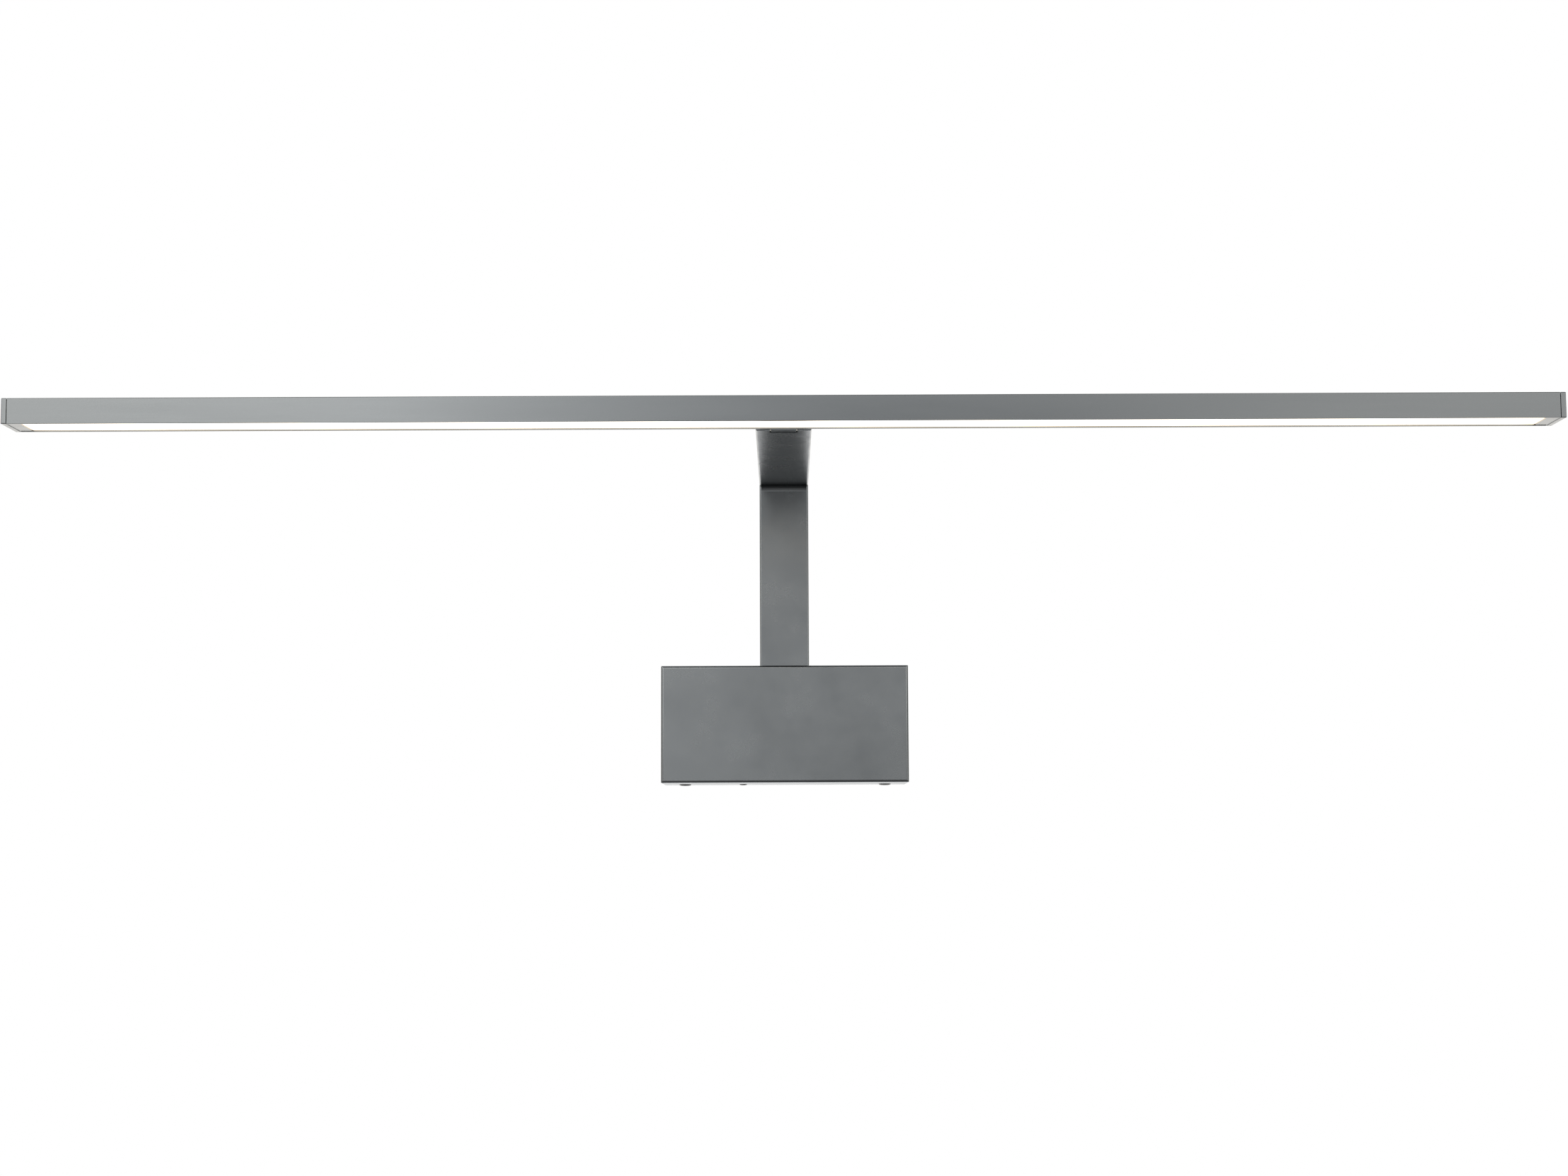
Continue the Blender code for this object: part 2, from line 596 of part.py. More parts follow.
def make_driver():
    """A small constant-current driver: potting case, base lid, circuit board and foam mounting tape."""
    lid_thickness = 1.5 * MM
    case_y = (DRIVER_FRONT_Y, DRIVER_BACK_Y - lid_thickness - TOUCH)
    outside = bevelled(
        block(DRIVER_X, case_y, DRIVER_Z),
        0.8 * MM,
        2,
        lambda e: max(v.co.y for v in e.verts) < case_y[1] - 1 * MM,
    )
    case = add("driver_case", outside, BLACK_PLASTIC)
    inner_x = (DRIVER_X[0] + DRIVER_WALL, DRIVER_X[1] - DRIVER_WALL)
    inner_z = (DRIVER_Z[0] + DRIVER_WALL, DRIVER_Z[1] - DRIVER_WALL)
    cut(case, helper("case_inside", block(inner_x, (DRIVER_FRONT_Y + DRIVER_WALL, 0), inner_z)))
    slack, past = 0.3 * MM, 2.5 * MM
    for i, (y, z) in enumerate(DRIVER_INPUTS):
        start, stop = (DRIVER_X[0] - past, y, z), (DRIVER_X[0] + past, y, z)
        cut(case, helper(f"case_entry_{i}", round_bar(start, stop, MAINS_LEAD_RADIUS + slack, 16)))
    x, y = DRIVER_OUTPUT
    way_out = round_bar((x, y, DRIVER_Z[1] - past), (x, y, DRIVER_Z[1] + past), LED_LEAD_RADIUS + slack, 16)
    cut(case, helper("case_way_out", way_out))
    lid = block(DRIVER_X, (DRIVER_BACK_Y - lid_thickness, DRIVER_BACK_Y), DRIVER_Z)
    add("driver_lid", bevelled(lid, 0.3 * MM, 1), BLACK_PLASTIC)
    tape_y = (DRIVER_BACK_Y + TOUCH, -PLATE_THICKNESS - TOUCH)
    tape = block((18 * MM, 39 * MM), tape_y, (-15 * MM, 15 * MM))
    add("driver_tape", tape, GREY_FOAM)
    board_y, board_thickness, board_gap = -8 * MM, 1.6 * MM, 1 * MM
    plain_board = block(
        (inner_x[0] + board_gap, inner_x[1] - board_gap),
        (board_y - board_thickness, board_y),
        (inner_z[0] + board_gap, inner_z[1] - board_gap),
    )
    board = add("driver_board", plain_board, GREEN)
    face = board_y - board_thickness + 0.6 * MM
    transformer = bevelled(block((20 * MM, 33 * MM), (face - 14 * MM, face), (-6 * MM, 8 * MM)), 0.6 * MM, 1)
    capacitor = round_bar((36.5 * MM, face, 10 * MM), (36.5 * MM, face - 12 * MM, 10 * MM), 3 * MM, 16)
    filter_coil = round_bar((22 * MM, face, -11.5 * MM), (22 * MM, face - 8 * MM, -11.5 * MM), 3.2 * MM, 16)
    unite(
        board,
        helper("transformer", transformer),
        helper("capacitor", capacitor),
        helper("filter_coil", filter_coil),
    )


def make_earth_terminal():
    """A ring on the plate, held by a pan-head screw, with a barrel that the earth lead runs into."""
    x, z = EARTH_SCREW
    ring_back = -PLATE_THICKNESS - TOUCH
    ring_radius, ring_thickness = 3.2 * MM, 0.8 * MM
    ring = turned((x, ring_back, z), (0, -1, 0), [(0.0, ring_radius), (ring_thickness, ring_radius)], 20)
    terminal = add("earth_ring", ring, STEEL, round_shape=True)
    half = EARTH_BARREL_HALF
    barrel = block((x - half, x + half), (ring_back - 2 * half, ring_back), (z - 8 * MM, z - 2.5 * MM))
    bore_y = ring_back - half
    bore_radius = MAINS_LEAD_RADIUS + RUNNING
    bore = round_bar((x, bore_y, z - 9 * MM), (x, bore_y, z - 4.5 * MM), bore_radius, 12)
    hole = round_bar((x, ring_back - 4 * MM, z), (x, 0, z), SCREW_RADIUS + RUNNING, 20)
    unite(terminal, helper("earth_barrel", barrel))
    cut(terminal, helper("earth_barrel_bore", bore), helper("earth_ring_hole", hole))
    head, length = 1.8 * MM, 2.3 * MM
    top = (x, ring_back - ring_thickness - TOUCH - head, z)
    screw("earth_screw", top, (0, 1, 0), screw_profile(2.3 * MM, head, SCREW_RADIUS, length), STEEL)


def make_mains_leads():
    start_z = TERMINAL_Z[0] + 1.5 * MM
    live_y, live_z = DRIVER_INPUTS[0]
    neutral_y, neutral_z = DRIVER_INPUTS[1]
    end_x = DRIVER_X[0] + 1.0 * MM
    live = [
        (POLES[0], POLE_Y, start_z),
        (POLES[0], POLE_Y - 0.3 * MM, -19.4 * MM),
        (-34 * MM, -14 * MM, -21.4 * MM),
        (-25 * MM, -22.5 * MM, -21.7 * MM),
        (-12 * MM, -27.5 * MM, -21.2 * MM),
        (0, -28.2 * MM, -20 * MM),
        (7 * MM, -26 * MM, -17.6 * MM),
        (11 * MM, live_y, live_z),
        (end_x, live_y, live_z),
    ]
    neutral = [
        (POLES[1], POLE_Y, start_z),
        (POLES[1], POLE_Y - 0.3 * MM, -18.2 * MM),
        (-26.5 * MM, -14 * MM, -18.7 * MM),
        (-18 * MM, -21.6 * MM, -18.4 * MM),
        (-9 * MM, -25.4 * MM, -17.6 * MM),
        (0, -25.6 * MM, -16.2 * MM),
        (7 * MM, -23.8 * MM, -13.6 * MM),
        (11 * MM, neutral_y, neutral_z),
        (end_x, neutral_y, neutral_z),
    ]
    x, z = EARTH_SCREW
    ring_y = -PLATE_THICKNESS - TOUCH - EARTH_BARREL_HALF
    earth = [
        (POLES[2], POLE_Y, start_z),
        (POLES[2] + 0.3 * MM, POLE_Y, -18.6 * MM),
        (-17.2 * MM, POLE_Y - 0.5 * MM, -20.2 * MM),
        (-13.4 * MM, POLE_Y - 0.2 * MM, -17 * MM),
        (-13 * MM, POLE_Y + 2.4 * MM, -11.5 * MM),
        (x + 0.3 * MM, ring_y - 0.3 * MM, z - 11 * MM),
        (x, ring_y, z - 8 * MM),
        (x, ring_y, z - 5 * MM),
    ]
    lead("live_lead", live, MAINS_LEAD_RADIUS, BROWN, spacing=3 * MM)
    lead("neutral_lead", neutral, MAINS_LEAD_RADIUS, BLUE, spacing=3 * MM)
    lead("earth_lead", earth, MAINS_LEAD_RADIUS, GREEN, spacing=3 * MM)


# ---- arm ---------------------------------------------------------------------------------------
def make_arm_bracket():
    """A hat-shaped bracket that carries the arm off the wall plate, with its four screws."""
    back = -PLATE_THICKNESS - TOUCH
    front = ARM_BACK_Y + TOUCH
    t = BRACKET_THICKNESS
    hat, brim = BRACKET_HALF_HAT, 21.5 * MM
    upper = [
        (front, hat),
        (back - t, hat),
        (back - t, brim),
        (back, brim),
        (back, hat - t),
        (front + t, hat - t),
    ]
    lower = [(y, -z) for y, z in reversed(upper)]
    bracket = add("arm_bracket", prism(upper + lower, -BRACKET_WIDTH / 2, BRACKET_WIDTH / 2), STEEL)
    for name, z, low, high in (
        ("brim_hole_upper", BRACKET_SCREW_Z, back - t - 2 * MM, 0),
        ("brim_hole_lower", -BRACKET_SCREW_Z, back - t - 2 * MM, 0),
        ("crown_hole_upper", ARM_SCREW_Z, front - 2 * MM, front + t + 2 * MM),
        ("crown_hole_lower", -ARM_SCREW_Z, front - 2 * MM, front + t + 2 * MM),
    ):
        cut(bracket, helper(name, round_bar((0, low, z), (0, high, z), SCREW_RADIUS + RUNNING, 20)))
    head = 2.0 * MM
    profile = screw_profile(PAN_HEAD_RADIUS, head, SCREW_RADIUS, 3.5 * MM)
    for name, z in (("bracket_screw_upper", BRACKET_SCREW_Z), ("bracket_screw_lower", -BRACKET_SCREW_Z)):
        screw(name, (0, back - t - TOUCH - head, z), (0, 1, 0), profile, STEEL)
    profile = screw_profile(PAN_HEAD_RADIUS, head, SCREW_RADIUS, 5.7 * MM)
    for name, z in (("arm_screw_upper", ARM_SCREW_Z), ("arm_screw_lower", -ARM_SCREW_Z)):
        screw(name, (0, front + t + TOUCH + head, z), (0, -1, 0), profile, STEEL)


def arm_outlines(v_low):
    """Outer and inner outline of the arm's tube: x first, then its thickness from v_low up."""
    half, wall = ARM_WIDTH / 2, ARM_WALL
    v = (v_low, v_low + ARM_THICKNESS)
    outer = round_rectangle((-half, half), v, ARM_RADIUS)
    inner = round_rectangle((wall - half, half - wall), (v[0] + wall, v[1] - wall), 0.4 * MM)
    return outer, inner


def make_arm_upright():
    """The rising tube. Its top end is cut on the mitre plane, z = y + MITRE_SUM."""
    outer, inner = arm_outlines(ARM_FRONT_Y)
    shape = tube(
        outer,
        inner,
        lambda x, y: (x, y, ARM_FOOT_Z),
        lambda x, y: (x, y, y + MITRE_SUM - MITRE_GAP),
    )
    upright = add("arm_upright", shape, FINISH, round_shape=True)
    for name, z in (("upright_hole_upper", ARM_SCREW_Z), ("upright_hole_lower", -ARM_SCREW_Z)):
        bar = round_bar((0, ARM_BACK_Y - 3 * MM, z), (0, ARM_BACK_Y + 2 * MM, z), SCREW_RADIUS + RUNNING, 20)
        cut(upright, helper(name, bar))
    window = round_bar(*across_side_wall(), WINDOW_RADIUS, 24)
    cut(upright, helper("upright_window", window))


def across_side_wall():
    """The ends of a bar through the upright's right wall, at the lead's way in."""
    y = (ARM_FRONT_Y + ARM_BACK_Y) / 2
    return (ARM_WIDTH / 2 - 3.5 * MM, y, WINDOW_Z), (ARM_WIDTH / 2 + 3.5 * MM, y, WINDOW_Z)


def make_arm_nut_plate():
    """The tapped plate inside the upright that its screws run into."""
    y = (ARM_BACK_Y - ARM_WALL - 3 * MM, ARM_BACK_Y - ARM_WALL - TOUCH)
    plate = bevelled(block((-8 * MM, 8 * MM), y, (-9.5 * MM, 9.5 * MM)), 0.4 * MM, 1)
    nut = add("arm_nut_plate", plate, STEEL)
    for name, z in (("nut_hole_upper", ARM_SCREW_Z), ("nut_hole_lower", -ARM_SCREW_Z)):
        bar = round_bar((0, y[0] - 1 * MM, z), (0, y[1] + 1 * MM, z), SCREW_RADIUS + RUNNING, 20)
        cut(nut, helper(name, bar))


def make_arm_grommet():
    """Rubber grommet that lines the lead's way into the upright."""
    barrel, flange = WINDOW_RADIUS - RUNNING, WINDOW_RADIUS + 1.0 * MM
    profile = [
        (-TOUCH, barrel),
        (ARM_WALL + TOUCH, barrel),
        (ARM_WALL + TOUCH, flange),
        (ARM_WALL + 1.0 * MM, flange),
    ]
    start = (ARM_WIDTH / 2 - ARM_WALL, (ARM_FRONT_Y + ARM_BACK_Y) / 2, WINDOW_Z)
    grommet = add("arm_grommet", turned(start, (1, 0, 0), profile, 24), RUBBER, round_shape=True)
    bore = round_bar(*across_side_wall(), LED_LEAD_RADIUS + 0.35 * MM, 16)
    cut(grommet, helper("grommet_bore", bore))


def round_end_cutter(name, radius):
    """Cuts a bar's front end to a round about the hinge axis."""
    y, z = PIVOT.y, PIVOT.z
    reach = 12 * MM
    outline = [(y, z + reach), (y - reach, z + reach), (y - reach, z - reach), (y, z - reach)]
    outline.extend(arc((y, z), radius, 270, 90, 16))
    return helper(name, prism(outline, -PAST_ARM, PAST_ARM))


def slot_cutter(name):
    """Cuts the slot between the ears, with its closed end hollowed to clear the turning tongue."""
    y, z = PIVOT.y, PIVOT.z
    reach = 8 * MM
    lip = math.degrees(math.acos(SLOT_LIP / SLOT_RADIUS))
    outline = [
        (y + SLOT_LIP, z + reach),
        (ARM_TIP_Y - 2 * MM, z + reach),
        (ARM_TIP_Y - 2 * MM, z - reach),
        (y + SLOT_LIP, z - reach),
        *arc((y, z), SLOT_RADIUS, -lip, lip, 12),
    ]
    return helper(name, prism(outline, -SLOT_HALF, SLOT_HALF))


def pivot_hole_cutter(name):
    start, stop = (-PAST_ARM, PIVOT.y, PIVOT.z), (PAST_ARM, PIVOT.y, PIVOT.z)
    return helper(name, round_bar(start, stop, PIVOT_RADIUS + RUNNING, 24))


def make_arm_forward():
    """The horizontal tube, mitred to the upright, with a fork of two round-ended ears at its front."""
    outer, inner = arm_outlines(RISE)
    shape = tube(
        outer,
        inner,
        lambda x, z: (x, z - MITRE_SUM - MITRE_GAP, z),
        lambda x, z: (x, ARM_TIP_Y, z),
    )
    forward = add("arm_forward", shape, FINISH, round_shape=True)
    cut(
        forward,
        slot_cutter("ear_slot"),
        round_end_cutter("ear_round", EAR_RADIUS),
        pivot_hole_cutter("ear_holes"),
    )


def make_fork_insert():
    """The solid block inside the tube's end that the pivot screws run into, with a hole for the lead."""
    half = ARM_WIDTH / 2 - ARM_WALL - FORK_INSERT_GAP
    rim = ARM_WALL + FORK_INSERT_GAP
    back = SLOT_END_Y + FORK_INSERT_LENGTH
    bar = block((-half, half), (ARM_TIP_Y, back), (RISE + rim, RISE + ARM_THICKNESS - rim))
    insert = add("fork_insert", bar, ALUMINIUM)
    start, stop = (0, SLOT_END_Y - 2 * MM, LEAD_Z), (0, back + 1 * MM, LEAD_Z)
    wire_hole = round_bar(start, stop, LED_LEAD_RADIUS + 0.5 * MM, 16)
    cut(
        insert,
        slot_cutter("fork_slot"),
        round_end_cutter("fork_round", EAR_RADIUS - FORK_INSERT_GAP),
        pivot_hole_cutter("fork_holes"),
        helper("fork_wire_hole", wire_hole),
    )


def make_led_lead():
    """Low-voltage lead: out of the driver, in at the upright's window, up and forward to the fork."""
    x, y = DRIVER_OUTPUT
    middle_y = (ARM_FRONT_Y + ARM_BACK_Y) / 2
    bend = 6 * MM
    rise = [(0, middle_y, (36 + 12 * i) * MM) for i in range(6)]
    corner = [(0, middle_y - bend + u, LEAD_Z - bend + v) for u, v in arc((0, 0), bend, 0, 90, 3)]
    first = corner[-1][1] - 8 * MM
    last = SLOT_END_Y + 0.2 * MM
    run = [(0, first + (last - first) * i / 9, LEAD_Z) for i in range(10)]
    route = [
        (x, y, DRIVER_Z[1] - 1.0 * MM),
        (x, y, DRIVER_Z[1] + 0.9 * MM),
        (x - 2.2 * MM, y - 2 * MM, 22 * MM),
        (x - 5.5 * MM, middle_y + 1.5 * MM, 21.4 * MM),
        (12.5 * MM, middle_y, WINDOW_Z + 0.2 * MM),
        (8 * MM, middle_y, WINDOW_Z + 0.2 * MM),
        (3 * MM, middle_y, 22.5 * MM),
        (0, middle_y, 29 * MM),
        *rise,
        *corner,
        *run,
    ]
    lead("led_lead", route, LED_LEAD_RADIUS, WHITE_PLASTIC)


# ---- hinge -------------------------------------------------------------------------------------
def tongue_outline():
    """Round about the hinge axis at the front and back, with a flat above and below."""
    corner = math.degrees(math.asin(KNUCKLE_FLAT / KNUCKLE_RADIUS))
    centre = (PIVOT.y, PIVOT.z)
    yield from arc(centre, KNUCKLE_RADIUS, -corner, corner, 14)
    yield from arc(centre, KNUCKLE_RADIUS, 180 - corner, 180 + corner, 14)


def make_tilt_bracket():
    """The head's half of the hinge: a round tongue on a neck, with a plate inside the housing."""
    y, z = PIVOT.y, PIVOT.z
    tongue = prism(list(tongue_outline()), -TONGUE_HALF, TONGUE_HALF)
    bracket = add("tilt_bracket", tongue, FINISH, tilt_axis, round_shape=True)
    neck_half = TONGUE_HALF - 0.1 * MM
    neck = block((-neck_half, neck_half), (NECK_FRONT_Y + 0.2 * MM, y), (NECK_LOW, NECK_HIGH))
    plate_y = (NECK_FRONT_Y, HEAD_BACK_Y - HEAD_WALL - TOUCH)
    plate_z = (NECK_LOW + 0.05 * MM, NECK_HIGH + 0.3 * MM)
    plate = block((-BRACKET_PLATE_HALF, BRACKET_PLATE_HALF), plate_y, plate_z)
    unite(bracket, helper("neck", neck, tilt_axis), helper("bracket_plate", plate, tilt_axis))
    start, stop = (0, y + 6 * MM, LEAD_Z), (0, NECK_FRONT_Y - 1 * MM, LEAD_Z)
    wire_hole = round_bar(start, stop, LED_LEAD_RADIUS + 0.25 * MM, 16)
    relief = block((-1.6 * MM, 1.6 * MM), (y + 0.8 * MM, y + 6 * MM), (z - 3.4 * MM, z + 3.4 * MM))
    cut(bracket, helper("tongue_wire_hole", wire_hole, tilt_axis), helper("tongue_relief", relief, tilt_axis))
    for side in (-1, 1):
        end = (side * (TONGUE_HALF + 1 * MM), y, z)
        dog = round_bar((side * (DOG_TIP_X - 0.3 * MM), y, z), end, DOG_RADIUS + 0.1 * MM, 16)
        x = side * TILT_SCREW_X
        start, stop = (x, NECK_FRONT_Y - 1 * MM, LEAD_Z), (x, HEAD_BACK_Y, LEAD_Z)
        thread = round_bar(start, stop, TAPPING_RADIUS + RUNNING, 16)
        cut(bracket, helper(f"dog_hole_{side}", dog, tilt_axis), helper(f"thread_{side}", thread, tilt_axis))


def make_pivots():
    """On each side a dog-point set screw for a pivot, and a nylon washer that gives the hinge its drag."""
    outer = ARM_WIDTH / 2 - TOUCH
    shoulder = SLOT_HALF + TOUCH
    profile = [
        (0.0, PIVOT_RADIUS - 0.25 * MM),
        (0.25 * MM, PIVOT_RADIUS),
        (outer - shoulder, PIVOT_RADIUS),
        (outer - shoulder, DOG_RADIUS),
        (outer - DOG_TIP_X, DOG_RADIUS),
    ]
    for name, side in (("left", -1), ("right", 1)):
        outward = Vector((side, 0, 0))
        start = PIVOT + outward * outer
        pivot = add(f"pivot_screw_{name}", turned(start, -outward, profile, 24), DARK_STEEL, round_shape=True)
        socket = round_bar(start + outward * MM, start - outward * 2 * MM, HEX_RADIUS, 6)
        cut(pivot, helper(f"hex_socket_{name}", socket))
        low, high = TONGUE_HALF + TOUCH / 2, SLOT_HALF - TOUCH / 2
        ring = round_bar(PIVOT + outward * low, PIVOT + outward * high, WASHER_RADIUS, 32)
        washer = add(f"friction_washer_{name}", ring, NYLON, round_shape=True)
        start, stop = PIVOT + outward * (low - 1 * MM), PIVOT + outward * (high + 1 * MM)
        hole = round_bar(start, stop, DOG_RADIUS + RUNNING, 24)
        cut(washer, helper(f"washer_hole_{name}", hole))


# ---- head --------------------------------------------------------------------------------------
def both_sides(half_outline):
    """Completes an outline that is given for the front wall by mirroring it about the head's middle."""
    middle = HEAD_FRONT_Y + HEAD_DEPTH / 2
    return half_outline + [(2 * middle - y, z) for y, z in reversed(half_outline)]


def back_wall_sink(name, x, z, radius, head_radius):
    """Cutter for a countersunk screw through the head's back wall."""
    before = 0.5 * MM
    flare = before * (head_radius - radius) / HEAD_WALL
    profile = [
        (-before, head_radius + RUNNING + flare),
        (HEAD_WALL - TOUCH, radius + RUNNING),
        (HEAD_WALL + 0.6 * MM, radius + RUNNING),
    ]
    return helper(name, turned((x, HEAD_BACK_Y, z), (0, -1, 0), profile), tilt_axis)


def make_housing():
    """The extruded channel, open below, with a rib along each wall for the diffuser to clip over."""
    front, inner = HEAD_FRONT_Y, HEAD_FRONT_Y + HEAD_WALL
    low, top = RISE, RISE + HEAD_HEIGHT
    edge = HEAD_EDGE
    roof = top - HEAD_TOP
    half = [
        (inner, roof),
        (inner, low + RIB_HIGH),
        (inner + RIB_REACH, low + RIB_HIGH),
        (inner + RIB_REACH, low + RIB_LOW),
        (inner, low + RIB_LOW),
        (inner, low),
        *arc((front + edge, low + edge), edge, 270, 180, 2),
        *arc((front + edge, top - edge), edge, 180, 90, 2),
    ]
    housing = add("head_housing", prism(both_sides(half), -HOUSING_HALF, HOUSING_HALF), FINISH, tilt_axis)
    half_width = TONGUE_HALF + 0.4 * MM
    through = (HEAD_BACK_Y - 3 * MM, HEAD_BACK_Y + 1 * MM)
    window = block((-half_width, half_width), through, (NECK_LOW - 0.3 * MM, NECK_HIGH + 0.4 * MM))
    cut(housing, helper("housing_window", window, tilt_axis))
    for kind, x, radius, head_radius in (
        ("tilt", TILT_SCREW_X, TAPPING_RADIUS, TILT_HEAD_RADIUS),
        ("cap", CAP_SCREW_X, SMALL_SCREW_RADIUS, CAP_HEAD_RADIUS),
    ):
        for side in (-1, 1):
            cut(housing, back_wall_sink(f"{kind}_sink_{side}", side * x, LEAD_Z, radius, head_radius))


def make_head_screws():
    """Countersunk screws, flush in the head's back wall, that hold the tilt bracket and the end caps."""
    head = HEAD_WALL - TOUCH
    tilt = countersunk_profile(TILT_HEAD_RADIUS - TOUCH, head, TAPPING_RADIUS, 2.0 * MM)
    cap = countersunk_profile(CAP_HEAD_RADIUS - TOUCH, head, SMALL_SCREW_RADIUS, 3.5 * MM)
    for name, side in (("left", -1), ("right", 1)):
        for kind, x, profile in (("tilt_bracket", TILT_SCREW_X, tilt), ("end_cap", CAP_SCREW_X, cap)):
            top = (side * x, HEAD_BACK_Y - TOUCH / 2, LEAD_Z)
            screw(f"{kind}_screw_{name}", top, (0, -1, 0), profile, DARK_STEEL, tilt_axis)


def make_end_caps():
    """A plate over each end of the channel, with a plug that fills the channel and closes it below."""
    low, top = RISE, RISE + HEAD_HEIGHT
    gap = 0.2 * MM
    inner = HEAD_FRONT_Y + HEAD_WALL + gap
    half = [
        (inner, top - HEAD_TOP - gap),
        (inner, low + RIB_HIGH + gap),
        (inner + RIB_REACH, low + RIB_HIGH + gap),
        (inner + RIB_REACH, low + RIB_LOW - gap),
        (inner, low + RIB_LOW - gap),
        (inner, low + gap),
    ]
    for name, side in (("left", -1), ("right", 1)):
        ends = sorted((side * (HEAD_LENGTH / 2 - CAP_THICKNESS), side * HEAD_LENGTH / 2))
        outline = round_rectangle((HEAD_FRONT_Y, HEAD_BACK_Y), (low, top), HEAD_EDGE, 2)
        cap = add(f"end_cap_{name}", prism(outline, *ends), FINISH, tilt_axis)
        plug_ends = sorted((side * PLUG_END_X, side * (HEAD_LENGTH / 2 - CAP_THICKNESS / 2)))
        unite(cap, helper(f"plug_{name}", prism(both_sides(half), *plug_ends), tilt_axis))
        start = Vector((side * CAP_SCREW_X, HEAD_BACK_Y, LEAD_Z))
        thread = round_bar(start, start - Vector((0, 6 * MM, 0)), SMALL_SCREW_RADIUS + RUNNING, 16)
        cut(cap, helper(f"cap_thread_{name}", thread, tilt_axis))


def make_diffuser():
    """Opal strip that clips over the ribs, lying a little inside the mouth of the channel."""
    low = RISE + DIFFUSER_LOW
    top = low + DIFFUSER_THICKNESS
    edge = HEAD_FRONT_Y + HEAD_WALL + DIFFUSER_GAP
    leg = edge + RIB_REACH
    leg_thickness, clip = 0.8 * MM, 0.45 * MM
    over_rib = RISE + RIB_HIGH + 0.12 * MM
    leg_top = over_rib + 0.6 * MM
    half = [
        (leg + leg_thickness, top),
        (leg + leg_thickness, leg_top),
        (leg, leg_top),
        (leg - clip, over_rib),
        (leg, over_rib),
        (leg, top),
        (edge, top),
        (edge, low),
    ]
    end = PLUG_END_X - 0.2 * MM
    add("diffuser", prism(both_sides(half), -end, end), OPAL, tilt_axis)


def make_led_boards():
    """Two boards end to end under the roof of the channel, fed in the middle, on one thermal tape."""
    roof = RISE + HEAD_HEIGHT - HEAD_TOP
    board_top = roof - 0.3 * MM
    board_low = board_top - BOARD_THICKNESS
    middle_y = HEAD_FRONT_Y + HEAD_DEPTH / 2
    y = (middle_y - BOARD_WIDTH / 2, middle_y + BOARD_WIDTH / 2)
    far = PLUG_END_X - 2.5 * MM
    buried = 0.2 * MM
    for name, side in (("left", -1), ("right", 1)):
        x = sorted((side * 0.6 * MM, side * far))
        board = add(f"led_board_{name}", block(x, y, (board_low, board_top)), WHITE_BOARD, tilt_axis)
        chips = bmesh.new()
        for i in range(LED_COUNT):
            chip = bmesh.ops.create_cube(chips, size=1.0)["verts"]
            bmesh.ops.scale(chips, vec=(LED_SIZE[0], LED_SIZE[1], LED_SIZE[2] + 2 * buried), verts=chip)
            middle = (side * (FIRST_LED_X + i * LED_PITCH), middle_y, board_low - LED_SIZE[2] / 2 + buried)
            bmesh.ops.translate(chips, vec=middle, verts=chip)
        unite(board, helper(f"led_chips_{name}", chips, tilt_axis))
    tape = block((-far, far), (y[0] + 1 * MM, y[1] - 1 * MM), (roof - 0.25 * MM, roof - 0.05 * MM))
    add("thermal_tape", tape, GREY_FOAM, tilt_axis)
    connector_y = (middle_y - 1 * MM, middle_y + 4.6 * MM)
    connector_z = (board_low - TOUCH - 3.0 * MM, board_low - TOUCH)
    body = bevelled(block((-4 * MM, 4 * MM), connector_y, connector_z), 0.3 * MM, 1)
    connector = add("feed_connector", body, WHITE_PLASTIC, tilt_axis)
    back = connector_y[1]
    start, stop = (0, back - 2 * MM, LEAD_Z), (0, back + 1 * MM, LEAD_Z)
    entry = round_bar(start, stop, LED_LEAD_RADIUS + 0.25 * MM, 16)
    cut(connector, helper("connector_entry", entry, tilt_axis))
    route = [(0, PIVOT.y + 0.6 * MM, LEAD_Z), (0, HEAD_BACK_Y, LEAD_Z), (0, back - 1.6 * MM, LEAD_Z)]
    lead("head_lead", route, LED_LEAD_RADIUS, WHITE_PLASTIC, tilt_axis)


make_wall_plate()
make_box_cover()
make_cover_screws()
make_cable_bush()
make_terminal_block()
make_driver()
make_earth_terminal()
make_mains_leads()
make_arm_bracket()
make_arm_upright()
make_arm_nut_plate()
make_arm_grommet()
make_arm_forward()
make_fork_insert()
make_led_lead()
make_tilt_bracket()
make_pivots()
make_housing()
make_head_screws()
make_end_caps()
make_diffuser()
make_led_boards()
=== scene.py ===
import json
import math

import bmesh
import bpy
from mathutils import Matrix, Vector


